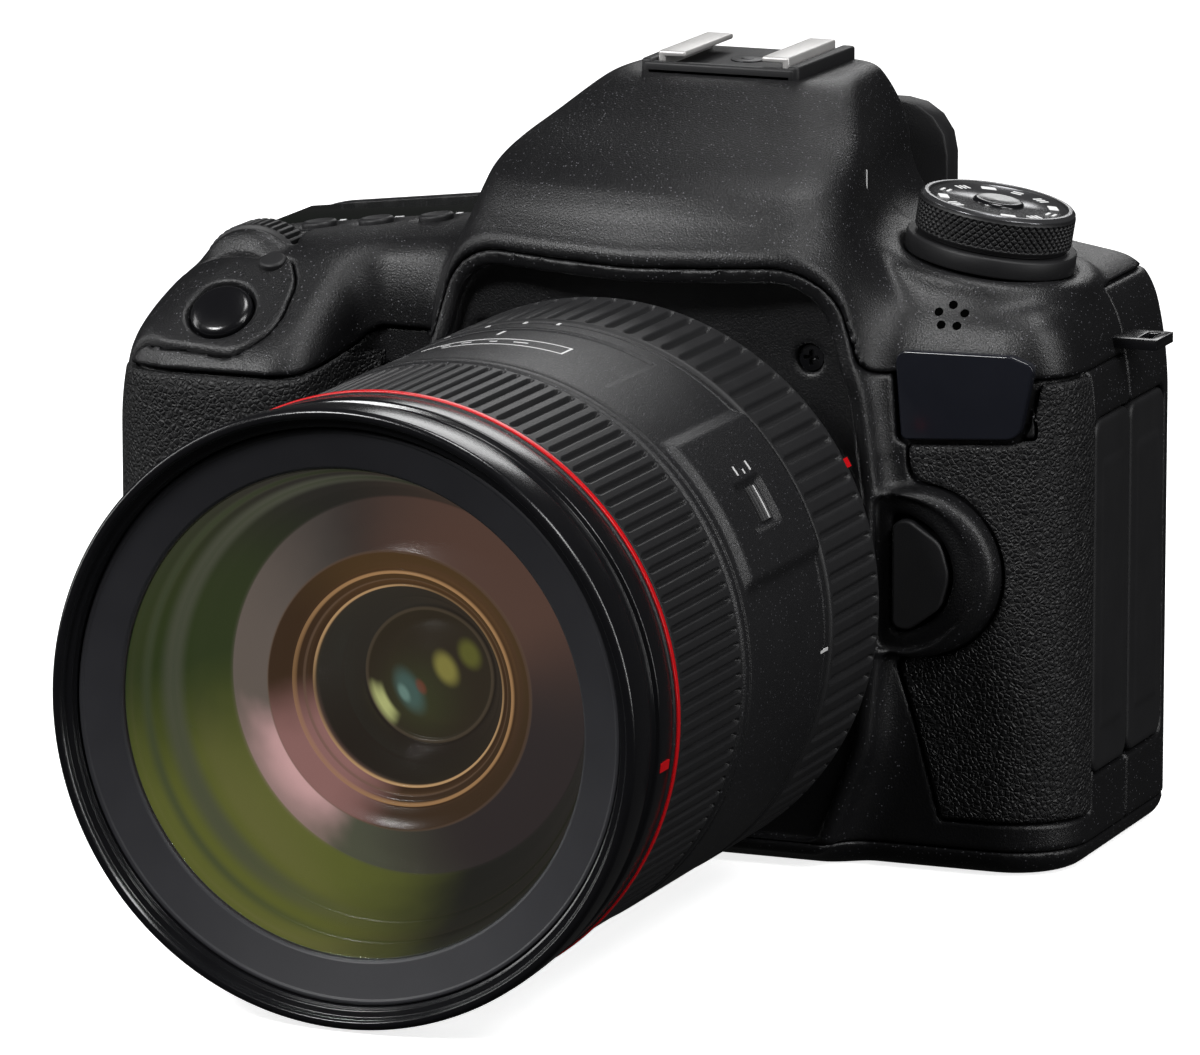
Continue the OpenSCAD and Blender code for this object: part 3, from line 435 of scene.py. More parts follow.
def topCoverField(x, y, z):
    f = outerField(x, y, z)
    across, up = onDial(x, y, z)
    cup = smoothMax(np.sqrt(across) - 13.2, -up + 0.2, 1.2)  # seat round the mode dial
    f = smoothMax(f, -cup, 1.0)
    f = np.maximum(f, 6.2 - np.sqrt(across))
    finger = np.where(z < b["deckLow"] + 1.5, fingerLine(x, y), 9)
    f = f + 1.1 * np.clip(0.5 - (finger - 0.25) / 0.4, 0, 1) * (f > -6)  # seat of the finger plate
    across, up = onFacet(x, y, z, shutter)
    f = np.maximum(f, 6.5 - np.sqrt(across) - 30 * (np.abs(up) > 8))
    for bx, br in deckButtons:
        r = np.sqrt((x - bx) ** 2 + ((y - 0.5) * 1.15) ** 2)
        f = smoothMax(f, -(np.maximum(r - br - 0.9, deckHeight(x) - 1.1 - z + 0.35 * r)), 0.6)
    slot = np.maximum(np.abs(y - mainDial["y"]) - mainDial["w"] / 2 - 0.3,
                      np.sqrt((x - mainDial["x"]) ** 2 + (z - mainDial["z"]) ** 2) - mainDial["r"] - 0.7)
    f = smoothMax(f, -slot, 0.5)
    screen = np.maximum(np.maximum(np.abs(x + 57) - 19.4, np.abs(y - 15.5) - 10.4), deckHeight(x) - 1.2 - z)
    f = smoothMax(f, -screen, 0.5)
    f = smoothMax(f, topZone(x, y, z) + b["gap"] / 2, 0.45)
    return smoothMax(f, -(bodyField(x, y, z) + 2.4), 0.4)


def gripZone(x, y, z):
    # negative where the grip rubber is: up to the top cover, and into the finger recess
    edge = smoothMax(x + 39.6, y + 3.5, 2)
    return smoothMax(smoothMax(edge, z - seamHeight(x, y) + 0.35, 2.0), 8.4 - z, 2.0)


def leatherZone(x, y, z):
    # negative where the leather is: right of a line beside the apron, round the release button's
    # housing
    side = 42.2 - 0.10 * (z - 46) * (z > 46)
    away = np.sqrt((x - release["x"] - release["shift"]) ** 2 + (z - release["z"]) ** 2)
    ring = release["rim"] + 0.5 - away
    foot = 42.0 - 0.28 * (z - 22) * (z < 34)
    side = np.where(z < 46, np.minimum(foot, 46), side)
    f = smoothMax(side - x, ring, 3)
    f = np.maximum(f, 0.5 - plateLine(x, z))
    f = np.maximum(f, np.maximum(z - np.where(x > 59.6, 75.2, 65.4 + (x - 39) * 0.063), 8.4 - z))
    return smoothMax(f, y + 8.0, 1.5)


def skinSeat(x, y, z):
    # how deep the front cover lies under the skins, nought elsewhere
    zone = np.minimum(gripZone(x, y, z), leatherZone(x, y, z))
    zone = np.minimum(zone, np.maximum(plateLine(x, z) - 0.1, y + 14))
    return 1.3 * np.clip(0.5 - (zone - 0.2) / 0.3, 0, 1)


def doorField(y, z, low, high, grow, corner=2.5):
    # rounded rectangle in y and z
    dy = np.abs(y - (low[0] + high[0]) / 2) - (high[0] - low[0]) / 2 - grow + corner
    dz = np.abs(z - (low[1] + high[1]) / 2) - (high[1] - low[1]) / 2 - grow + corner
    outside = np.sqrt(np.maximum(dy, 0) ** 2 + np.maximum(dz, 0) ** 2)
    return outside + np.minimum(np.maximum(dy, dz), 0) - corner


doors = {"frontTerminal": ((-7.5, 14.0), (8.35, 68.0)), "rearTerminal": ((8.65, 14.0), (24.5, 68.0)),
         "card": ((-2.0, 18.0), (22.0, 64.0))}


def terminalSeat(x, y, z):
    # recess in the terminal side that both covers lie in
    return np.maximum(doorField(y, z, (-7.5, 14.0), (24.5, 68.0), 0.25), b["terminalSide"] - 2.3 - x)


def frontCoverField(x, y, z):
    f = outerField(x, y, z) + skinSeat(x, y, z)
    hole = releaseHole(x, z, 0.55)
    f = smoothMax(f, -np.maximum(hole, y + 16), 0.5)
    f = smoothMax(f, -np.maximum(releaseHole(x - 0.4, z, 3.2), y + 23.4), 0.9)
    f = np.maximum(f, -np.where(y < -10, np.sqrt(x * x + (z - b["axisZ"]) ** 2) - throat["r"], 9))
    for sx in (-26, 26):
        r = np.sqrt((x - sx) ** 2 + (z - 77.5) ** 2)
        f = smoothMax(f, -np.maximum(r - 2.2, y + 21.9), 0.4)
    r = np.sqrt((x + 43) ** 2 + (z - 24) ** 2)
    f = np.maximum(f, -np.maximum(r - 4.4, y + 8))
    f = np.maximum(f, -terminalSeat(x, y, z))
    f = np.maximum(f, -np.maximum(doorField(y, z, (-2.0, 18.0), (22.0, 64.0), 0.25),
                                  x + b["gripSide"] - 2.3))
    f = np.maximum(f, b["gap"] / 2 - topZone(x, y, z))
    f = smoothMax(f, y - b["splitY"] + b["gap"] / 2, 0.4)
    f = smoothMax(f, b["baseRim"] + b["gap"] / 2 - z, 0.4)
    floor = np.where(creaseLine(x, z) < 1.0, b["recessFloor"] + 2.0 - y, -99)
    return smoothMax(f, -np.maximum(bodyField(x, y, z) + 2.4, floor), 0.4)


def skinField(zone, proud, inset):
    def field(x, y, z):
        f = outerField(x, y, z) - proud
        f = smoothMax(f, zone(x, y, z) + inset, 0.7)
        return smoothMax(f, -(bodyField(x, y, z) + 1.15), 0.3)
    return field


def bottomCoverField(x, y, z):
    f = bodyField(x, y, z)
    f = smoothMax(f, z - b["baseRim"] + b["gap"] / 2, 0.4)
    f = np.maximum(f, 6.9 - np.sqrt(x * x + y * y))
    door = np.maximum(np.abs(x + 68.5) - 12.7, np.abs(y + 4.8) - 20.4)
    f = smoothMax(f, -np.maximum(door, z - 2.8), 0.3)
    for gx in range(-40, 61, 10):  # shallow grip lines under the base
        f = smoothMax(f, -np.maximum(np.abs(x - gx) - 0.5, np.maximum(z - 0.5, np.abs(y - 18) - 8)), 0.3)
    return smoothMax(f, -(bodyField(x, y, z) + 2.4), 0.4)


rearHoles = [(-56, 30, 18.2, 29.0), (-42, 58, 4.1, 31.0), (-36, 74, 9.4, 31.6), (-52, 77, 4.6, 31.0),
             (-64, 77, 4.0, 31.0), (56, 77, 4.0, 31.0), (45, 77, 4.0, 31.0), (56, 40, 4.0, 31.0),
             (56, 24, 4.0, 31.0)]


def rearCoverField(x, y, z):
    # the back: a thumb rest, a dished hole for each control, a recess for the screen
    f = outerField(x, y, z)
    rest = np.sqrt(((x + 71) / 12.5) ** 2 + ((z - 57) / 13.0) ** 2 + ((y - 31.0) / 4.6) ** 2)
    f = smoothMin(f, (rest - 1) * 4.6, 4.0)
    frame = np.maximum(np.abs(x - 12) - 43.0, np.abs(z - 39) - 31.5)
    f = smoothMin(f, smoothMax(frame, y - 33.0, 1.2) + 20 * (y < 28), 2.0)
    for hx, hz, hr, floor in rearHoles:
        r = np.sqrt((x - hx) ** 2 + (z - hz) ** 2)
        f = smoothMax(f, -np.maximum(r - hr - 0.45, floor - y), 0.5)
    f = smoothMax(f, -np.maximum(np.maximum(np.abs(x - 12) - 38.4, np.abs(z - 39) - 27.4), 30.0 - y), 0.5)
    f = smoothMax(f, -np.maximum(np.maximum(np.abs(x) - 18.3, np.abs(z - 94.4) - 9.3), 24 - y), 0.5)
    for k in range(12):  # holes of the speaker
        sx, sz = -66 + 2.4 * (k % 4), 6.6 + 2.2 * (k // 4)
        f = smoothMax(f, -np.maximum(np.sqrt((x - sx) ** 2 + (z - sz) ** 2) - 0.7, 31.0 - y), 0.3)
    f = np.maximum(f, -terminalSeat(x, y, z))
    f = np.maximum(f, -np.maximum(doorField(y, z, (-2.0, 18.0), (22.0, 64.0), 0.25),
                                  x + b["gripSide"] - 2.3))
    f = smoothMax(f, b["gap"] / 2 - topZone(x, y, z), 0.4)
    f = smoothMax(f, b["splitY"] + b["gap"] / 2 - y, 0.4)
    f = smoothMax(f, b["baseRim"] + b["gap"] / 2 - z, 0.4)
    return smoothMax(f, -(bodyField(x, y, z) + 2.4), 0.4)


covers = {}
covers["top"] = netPiece("top_cover_shell", topCoverField, (-89, -35, 68), (68, 39, 116), 0.55)
covers["front"] = netPiece("front_cover_shell", frontCoverField, (-89, -35, 3), (68, 10, 95), 0.6)
covers["grip"] = netPiece("grip_skin", skinField(gripZone, 0.35, 0.15), (-90, -35, 7), (-47, 0, 72), 0.6)
covers["leather"] = netPiece("front_skin", skinField(leatherZone, 0.3, 0.15), (36, -25, 7), (69, -6, 78),
                             0.5)
covers["rear"] = netPiece("rear_cover_shell", rearCoverField, (-89, 8, 3), (68, 39, 86.5), 0.6)
covers["base"] = netPiece("base_shell", bottomCoverField, (-89, -34, -0.5), (67, 34, 5), 0.6)
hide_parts("top_cover")
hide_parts("rear_cover")
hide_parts("bottom_cover")
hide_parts("front_cover")
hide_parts("grip_rubber")
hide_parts("front_leather")
print("covers done")

# the lens: profiles turned about its axis
lens = {"collarR": 42.9, "coreR": 40.4, "zoomStart": 12.6, "zoomEnd": 33.2, "focusStart": 67.8,
        "focusEnd": 92.6,
        "zoomRibs": 88, "focusRibs": 122, "ribDepth": 0.75}


def ribbed(count, start, end, share, depth):
    # rib height over the angle: a flat-topped wave, fading out before both edges of the ring
    def shape(angle, t, r):
        wave = np.abs((angle * count / (2 * math.pi)) % 1 - 0.5) * 2
        fade = np.sqrt(np.clip(np.minimum(t - start, end - t) / 0.9, 0, 1))
        groove = 1 - ramp(wave, share * fade - 0.16, share * fade + 0.10)
        outer = ramp(r, lens["collarR"] - 1.0, lens["collarR"] - 0.6)
        return r - depth * groove * (fade > 0.02) * outer
    return shape


def ribRing(name, start, end, top, count, share):
    edge = top - 0.55
    rows = [[start, lens["coreR"] + 0.06], [start, edge, 0.3], [start + 0.5, top, 0.4]]
    inner = [1.1, 1.35, 1.7, 2.1, 2.6]
    rows += [[start + k, top, 0.02] for k in inner] + [[(start + end) / 2, top, 0.02]]
    rows += [[end - k, top, 0.02] for k in inner[::-1]]
    rows += [[end - 0.5, top, 0.4], [end, edge, 0.3], [end, lens["coreR"] + 0.06]]
    ribs = ribbed(count, start + 1.0, end - 1.0, share, lens["ribDepth"])
    return turned(name, rows, count * 12, shape=ribs)


rings = {}
rings["zoom"] = ribRing("zoom_grip", lens["zoomStart"], lens["zoomEnd"], lens["collarR"] + 0.1,
                        lens["zoomRibs"], 0.34)
rings["focus"] = ribRing("focus_grip", lens["focusStart"], lens["focusEnd"], lens["collarR"] - 0.15,
                         lens["focusRibs"], 0.38)
rings["front"] = turned("front_hood_barrel", [
    [100.0, 36.0], [96.4, 36.6], [96.4, 43.2, 0.2], [101.6, 43.45, 0.3], [101.9, 42.7, 0.15],
    [105.2, 42.7, 0.15],
    [105.5, 43.1, 0.1], [106.1, 43.1, 0.1], [106.5, 43.95, 0.3], [110.0, 44.1, 0.5], [112.5, 44.1, 0.4],
    [113.0, 43.6, 0.25], [113.0, 42.9, 0.15], [112.6, 42.6, 0.1], [111.9, 42.4, 0.1], [111.7, 41.5, 0.1],
    [111.3, 41.5, 0.05], [111.1, 41.2, 0.05], [110.9, 41.5, 0.05], [110.7, 41.2, 0.05], [110.4, 41.2, 0.05],
    [110.1, 41.0, 0.05], [108.6, 41.0, 0.1], [107.6, 36.0, 0.3]], 320, 0.2)
rings["name"] = turned("name_ring", [[110.35, 40.95, 0.05], [110.5, 40.8, 0.1], [110.45, 40.4, 0.1],
                                     [110.25, 40.2, 0.1],
                                     [109.0, 35.3, 0.1], [108.7, 34.95, 0.1], [107.9, 34.9, 0.1],
                                     [107.6, 35.3],
                                     [108.8, 40.95]], 256, 0.1)
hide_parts("zoom_ring")
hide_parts("focus_ring")
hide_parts("front_barrel")
rings["red"] = turned("red_band", [[94.1, 42.0], [94.1, 43.5, 0.2], [95.15, 43.5, 0.2], [95.15, 42.0]],
                      256, 0.1)
panel = {"angle": 32.0, "half": 17.0, "start": 34.2, "end": 64.0, "rise": 1.15}
window = {"half": 27.0, "angle": 92.0, "start": 39.5, "end": 58.5}


def patch(value, low, high, soft):
    return ramp(value, low, low + soft) * (1 - ramp(value, high - soft, high))


def barrelShape(angle, t, r):
    # the raised switch panel, its ends sloped, and the shallow seat of the distance window
    degrees = np.degrees(angle)
    skin = ramp(r, lens["collarR"] - 0.6, lens["collarR"] - 0.1) * (t < 67)
    wide = patch(t, panel["start"] - 1.0, panel["end"], 2.2)
    rise = panel["rise"] * patch(degrees, panel["angle"] - panel["half"], panel["angle"] + panel["half"],
                                 3.0) * wide
    slot = patch(t, 45.2, 54.8, 0.35) * patch(degrees, 25.2, 34.8, 0.5)
    seatWide = patch(degrees, 92 - window["half"], 92 + window["half"], 0.5)
    seat = patch(t, window["start"], window["end"], 0.25) * seatWide
    return r + skin * (rise - 1.0 * slot - 0.35 * seat)


plainRows = [[36.6 + k * 0.6, 42.9, 0.02] for k in range(47)]
rings["barrel"] = turned("barrel_shell", [
    [2.1, 28], [2.1, 33.5, 0.3], [5.0, 38.6, 1], [8.6, 40.6, 1.2], [10.4, 42.0, 0.6], [12.35, 42.0, 0.2],
    [12.35, 40.4],
    [33.4, 40.4], [33.4, 42.4, 0.2], [34.0, 42.8, 0.3], [35.2, 42.8, 0.1], [35.4, 42.55, 0.1],
    [35.7, 42.55, 0.1],
    [35.9, 42.85, 0.1], *plainRows, [65.0, 42.85, 0.1], [65.2, 42.55, 0.1],
    [65.5, 42.55, 0.1], [65.7, 42.8, 0.1], [66.9, 42.8, 0.4], [67.55, 42.3, 0.2], [67.55, 40.4],
    [92.8, 40.4], [92.8, 42.7, 0.2], [93.2, 43.2, 0.3], [94.0, 43.3, 0.1], [94.0, 42.3, 0.1],
    [95.25, 42.3, 0.1],
    [95.25, 43.3, 0.1], [95.7, 43.3, 0.2], [96.0, 43.0, 0.2], [96.0, 38.1], [48.0, 38.1], [48.0, 34.0],
    [6.0, 34.0],
    [6.0, 28.0]], 720, 0.2, shape=barrelShape)
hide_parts("lens_barrel")
print("lens rings done")

# glass and what shows through it


def dish(name, corners, segments=192, radius=0.3):
    # open profile from the axis outwards, turned; the first corner lies on the axis
    line = softProfile(corners, radius)
    line[0, 1] = 0.02
    angle = np.linspace(0, 2 * math.pi, segments, endpoint=False)
    t, r = line[:, 0][:, None], line[:, 1][:, None]
    x, z = r * np.cos(angle), r * np.sin(angle)
    points = np.stack([x, b["flangeY"] - t + 0 * x, b["axisZ"] + z], -1).reshape(-1, 3)
    faces = [list(f) for f in gridFaces(len(line), segments, around=True)]
    faces.append(list(range(segments))[::-1])
    faces.append([len(points) - segments + k for k in range(segments)])
    return meshPiece(name, points, faces)


optics = {}
optics["front"] = dish("front_glass", [[110.6, 0], [110.5, 9], [110.1, 18], [109.4, 27], [108.5, 34.0],
                                       [108.3, 34.85],
                                       [107.9, 34.85], [108.2, 27], [108.7, 14], [108.9, 0.02]], radius=2)
optics["cell"] = dish("inner_cell", [
    [82.6, 0], [82.3, 3.5, 1], [81.3, 7.0, 1], [80.4, 9.2, 0.1], [80.8, 9.5, 0.1], [80.8, 9.8, 0.1],
    [80.4, 10.1, 0.1],
    [83.0, 11.6, 0.6], [83.6, 11.9, 0.1], [84.0, 12.2, 0.1], [87.6, 14.2, 0.3], [88.6, 14.4, 0.1],
    [88.6, 14.65, 0.1],
    [88.0, 14.9, 0.1], [89.2, 15.5, 0.2], [89.6, 15.6, 0.1], [89.8, 16.5, 0.3], [90.7, 16.6, 0.1],
    [90.7, 16.9, 0.1],
    [90.2, 17.1, 0.1], [91.4, 18.6, 0.6], [92.2, 20.0, 0.15], [91.9, 20.1, 0.1], [90.6, 23.5, 2],
    [88.2, 27.1, 0.1],
    [88.0, 27.3, 0.05], [88.8, 27.5, 0.1], [93.0, 29.5, 0.5], [98.4, 31.6, 0.3], [98.6, 32.0, 0.1],
    [103.2, 33.5, 0.3],
    [103.4, 33.9, 0.1], [106.2, 34.6, 0.2], [107.8, 34.9], [107.8, 36.5], [79.0, 36.5], [79.0, 0.02]],
                      radius=0.25)
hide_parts("front_optics")
print("glass done")


# small parts: profiles turned about their own axes, and outlines given a thickness
def frameFor(axis, up=(0, 0, 1)):
    w = np.array(axis, float) / np.linalg.norm(axis)
    u = np.cross(up, w)
    u = u / np.linalg.norm(u) if np.linalg.norm(u) > 1e-6 else np.array([1.0, 0, 0])
    return np.stack([u, np.cross(w, u), w])


def spun(name, corners, origin, axis, segments=96, radius=0.2, shape=None):
    # profile of [height, radius] corners turned about an axis through origin, closed at both ends on
    # the axis
    line = softProfile(corners, radius)
    angle = np.linspace(0, 2 * math.pi, segments, endpoint=False)
    h, r = line[:, 0][:, None] + 0 * angle, line[:, 1][:, None] + 0 * angle
    if shape is not None:
        h, r = shape(angle[None, :] + 0 * h, h, r)
    local = np.stack([r * np.cos(angle), r * np.sin(angle), h], -1).reshape(-1, 3)
    points = local @ frameFor(axis) + np.array(origin, float)
    faces = [list(f) for f in gridFaces(len(line), segments, around=True)]
    faces += [list(range(segments))[::-1], [len(points) - segments + k for k in range(segments)]]
    return meshPiece(name, points, faces)


def slab(name, outline, place, low, high, bevel=0.25, segments=3):
    # closed 2D outline given a thickness from low to high; place(u, v, w) turns it into points
    outline = np.asarray(outline, float)
    n = len(outline)
    bottom = place(outline[:, 0], outline[:, 1], np.full(n, float(low)))
    top = place(outline[:, 0], outline[:, 1], np.full(n, float(high)))
    side = [[k, (k + 1) % n, n + (k + 1) % n, n + k] for k in range(n)]
    ob = meshPiece(name, np.concatenate([bottom, top]),
                   side + [list(range(n))[::-1], [n + k for k in range(n)]],
                   smooth=False)
    soften(ob, bevel, segments)
    return ob


def soften(ob, width, segments=3, angle=30):
    mod = ob.modifiers.new("edges", "BEVEL")
    mod.width, mod.segments, mod.limit_method = width * mm, segments, "ANGLE"
    mod.angle_limit = math.radians(angle)
    mod.harden_normals = True
    ob.data.shade_smooth()


def roundBox(half, radius, steps=6):
    return filletOutline([[half[0], half[1], radius], [-half[0], half[1], radius],
                          [-half[0], -half[1], radius],
                          [half[0], -half[1], radius]], steps)


def alongY(u, v, w):
    # outline in x and z, thickness towards the front
    return np.stack([u, -w, v], 1)


def alongZ(u, v, w):
    return np.stack([u, v, w], 1)


def joined(name, pieces):
    # one object from several, modifiers applied
    graph = bpy.context.evaluated_depsgraph_get()
    points, faces, count = [], [], 0
    for ob in pieces:
        done = ob.evaluated_get(graph).to_mesh()
        co = np.zeros(len(done.vertices) * 3)
        done.vertices.foreach_get("co", co)
        points.append(co.reshape(-1, 3) / mm)
        faces += [[count + v for v in p.vertices] for p in done.polygons]
        count += len(done.vertices)
        bpy.data.objects.remove(ob)
    ob = meshPiece(name, np.concatenate(points), faces)
    keepSharp(ob)
    return ob


def keepSharp(ob, angle=38):
    # smooth shading that stays flat over edges sharper than the angle
    ob.data.shade_smooth()
    ob.data.set_sharp_from_angle(angle=math.radians(angle))


def rootAlong(field, start, direction, reach=30.0):
    # point where the field changes sign along a line, by halving
    start, direction = np.array(start, float), np.array(direction, float)
    t = np.linspace(0, reach, 600)
    p = start + t[:, None] * direction
    f = field(p[:, 0], p[:, 1], p[:, 2])
    k = np.argmax(np.sign(f) != np.sign(f[0]))
    low, high = t[k - 1], t[k]
    for _ in range(30):
        m = (low + high) / 2
        q = start + m * direction
        same = np.sign(field(*[np.array([v]) for v in q])[0]) == np.sign(f[0])
        low, high = (m, high) if same else (low, m)
    return start + low * direction


def normalAt(field, p, h=0.1):
    g = [field(*[np.array([v]) for v in p + h * e])[0] - field(*[np.array([v]) for v in p - h * e])[0]
         for e in np.eye(3)]
    return np.array(g) / np.linalg.norm(g)


parts = {}
facetUp = (0, -facetSin, facetCos)
facetAlong = np.array([0, facetCos, facetSin])


def onFacetPoint(at, up=0.0, along=0.0):
    return np.array([at["x"], at["y"], at["z"]]) + np.array(facetUp) * up + facetAlong * along


def fingerField(x, y, z):
    # plate let into the grip's top, with a dished seat for the shutter button
    f = outerField(x, y, z) - 0.12
    f = smoothMax(f, fingerLine(x, y), 0.5)
    across, up = onFacet(x, y, z, shutter)
    bowl = np.sqrt(across) - 5.6 + 0.5 * np.maximum(-up, 0)
    f = smoothMax(f, -np.maximum(bowl, -up - 1.3), 0.5)
    return smoothMax(f, -(bodyField(x, y, z) + 2.0 * (across < 50) + 0.9 * (across >= 50)), 0.2)


parts["finger"] = netPiece("finger_plate", fingerField, (-89, -35, 68), (-57, -5, 90), 0.38)
parts["shutter"] = spun("shutter_cap", [[-3.0, 4.9], [-1.3, 4.9, 0.1], [0.0, 4.9, 0.5], [0.55, 4.2, 0.8],
                                        [0.95, 2.4, 1],
                                        [1.05, 0.02]], onFacetPoint(shutter), facetUp, 96, 0.3)
at = rootAlong(outerField, np.array([-64.2, -15.0, 84.0]) + 10 * np.array(facetUp), -np.array(facetUp))
parts["function"] = spun("function_cap", [[-2.5, 2.1], [0.35, 2.1, 0.25], [0.6, 1.7, 0.25], [0.55, 0.02]],
                         at,
                         facetUp + np.array([0, 0.25, 0.2]), 64)


def knurl(count, low, high, depth):
    # diamond pattern: two crossed families of slanted grooves
    def shape(angle, h, r):
        turn = angle * count / (2 * math.pi)
        rise = (h - low) / (2 * math.pi * 11.9 / count)
        a = np.abs((turn + rise) % 1 - 0.5) * 2
        c = np.abs((turn - rise) % 1 - 0.5) * 2
        cut = np.maximum(ramp(a, 0.62, 1.0), ramp(c, 0.62, 1.0))
        band = patch(h, low, high, 0.25) * ramp(r, 11.0, 11.4)
        return h, r - depth * cut * band
    return shape


dialAxis = (math.sin(math.radians(modeDial["tilt"])), 0, math.cos(math.radians(modeDial["tilt"])))
dialAt = (modeDial["x"], modeDial["y"], modeDial["z"])
side = [[3.7, 11.3, 0.1], [4.2, 11.75, 0.1]] + [[4.4 + 0.16 * k, 11.85, 0.02] for k in range(27)]
parts["mode"] = spun("mode_dial_knurled", [[-2, 5.2], [3.6, 5.2], [3.6, 11.3]] + side + [
    [8.75, 11.75, 0.1], [9.05, 11.7, 0.1], [9.55, 11.2, 0.25], [9.6, 10.5, 0.1], [9.15, 10.3, 0.1],
    [9.05, 4.6, 0.1],
    [8.0, 4.4, 0.1], [8.0, 0.02]], dialAt, dialAxis, 64 * 10, 0.15, knurl(64, 4.4, 8.6, 0.42))
parts["modeRing"] = spun("mode_dial_bevel", [[8.95, 10.6], [8.95, 11.72, 0.05], [9.15, 11.72, 0.1],
                                             [9.68, 11.2, 0.15],
                                             [9.68, 10.6, 0.1], [9.2, 10.3]], dialAt, dialAxis, 160, 0.1)
parts["lock"] = spun("dial_lock_cap", [[5.9, 3.95], [9.3, 3.95, 0.3], [9.75, 3.4, 0.3], [9.6, 1.8, 0.8],
                                       [9.5, 0.02]], dialAt,
                     dialAxis, 80)
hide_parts("mode_dial")
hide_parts("mode_lock_button")
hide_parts("shutter_button")
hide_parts("function_button")


def dialPoints(u, v, w):
    # points on the mode dial's top: across, towards the rear, and up the axis
    local = np.stack([v, -u, w], 1)
    return local @ frameFor(dialAxis) + np.array(dialAt)


def dialMarks():
    # generic marks round the dial's face: dashes, squares and dots
    made = []
    for k in range(11):
        a = math.radians(-150 + k * 30)
        c, s = math.cos(a), math.sin(a)

        def at(u, v, w, c=c, s=s):
            return dialPoints(u * c - v * s + 8.4 * -s, u * s + v * c + 8.4 * c, w)
        if k % 3 == 0:
            shapes = [roundBox((1.15, 0.75), 0.25, 2)]
        elif k % 3 == 1:
            shapes = [roundBox((0.2, 0.85), 0.1, 2) + [-0.8, 0], roundBox((0.2, 0.85), 0.1, 2),
                      roundBox((0.2, 0.85), 0.1, 2) + [0.8, 0]]
        else:
            shapes = [roundBox((0.85, 0.22), 0.1, 2) + [0, 0.55],
                      roundBox((0.85, 0.22), 0.1, 2) + [0, -0.45]]
        made += [slab("mark", o, at, 9.05, 9.26, 0.02, 1) for o in shapes]
    return joined("dial_marks", made)


parts["marks"] = dialMarks()
wheel = {"r": 9.0, "count": 48}


def toothed(angle, h, r):
    wave = np.abs((angle * wheel["count"] / (2 * math.pi)) % 1 - 0.5) * 2
    cut = ramp(wave, 0.45, 0.75) * patch(h, -2.9, 2.9, 0.5) * ramp(r, 8.0, 8.5)
    return h, r - 0.75 * cut


parts["wheel"] = spun("finger_wheel", [[-3.25, 0.02], [-3.25, 8.2, 0.2], [-2.9, 8.9, 0.2],
                                       [-2.4, 9.0, 0.05],
                                       [-1.2, 9.0, 0.05], [0, 9.0, 0.05], [1.2, 9.0, 0.05],
                                       [2.4, 9.0, 0.05],
                                       [2.9, 8.9, 0.2], [3.25, 8.2, 0.2], [3.25, 0.02]],
                      (mainDial["x"], mainDial["y"], mainDial["z"]), (0, 1, 0), 480, 0.15, toothed)
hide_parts("main_dial")
deckTilt = math.atan(0.1205)
deckNodes = ["light_button", "metering_button", "drive_button", "iso_button"]
for (bx, br), node in zip(deckButtons, deckNodes):
    key = node.replace("_button", "")
    parts[key] = spun(key + "_cap", [[-2.5, br - 0.05], [0.7, br - 0.05, 0.3], [1.0, br - 0.5, 0.3],
                                     [0.85, br * 0.5, 0.5],
                                     [0.8, 0.02]], (bx, 0.5, float(deckHeight(bx)) - 0.2),
                      (-math.sin(deckTilt), 0, math.cos(deckTilt)), 72)
    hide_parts(node)


def deckMarks():
    # small generic marks behind each deck button but the first
    made = []
    for k, (mx, _) in enumerate(deckButtons[1:]):
        for j in range(3):
            cx, cy = mx - 2.0 + 2.0 * j, 4.8
            half = (0.75, 0.28) if (j + k) % 2 else (0.5, 0.5)

            def at(u, v, w, cx=cx, cy=cy):
                return np.stack([u + cx, v + cy, w + deckHeight(u + cx)], 1)
            made.append(slab("mark", roundBox(half, 0.15, 2), at, -0.3, 0.05, 0.02, 1))
    return joined("deck_marks", made)


parts["deckMarks"] = deckMarks()
# the release button, its face sloped like its housing, and the blank name plate
releaseOutline = filletOutline([[release["x"], 37.9, 1.6], [release["x"] + 2.5, 37.75, 2],
                                [release["x"] + 7.2, 41.2, 4],
                                [release["x"] + 8.6, 46.1, 6], [release["x"] + 7.2, 51.0, 4],
                                [release["x"] + 2.5, 54.45, 2], [release["x"], 54.3, 1.6]], 8)


def releasePlace(u, v, w):
    return np.stack([u, -w + 0.2 * (u - 41) * (w > 0), v], 1)


parts["release"] = slab("release_cap", releaseOutline, releasePlace, 17.5, 24.6, 0.5, 4)
parts["plate"] = slab("blank_plate", filletOutline([[39.4, 65.7, 1.0], [57.8, 66.9, 2.6], [60.1, 78.1, 1.2],
                                                    [56.4, 79.4, 4.5], [38.3, 79.1, 1.8]], 8), alongY,
                      18.6, 20.5, 0.35, 4)
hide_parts("release_button")
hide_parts("name_plate")


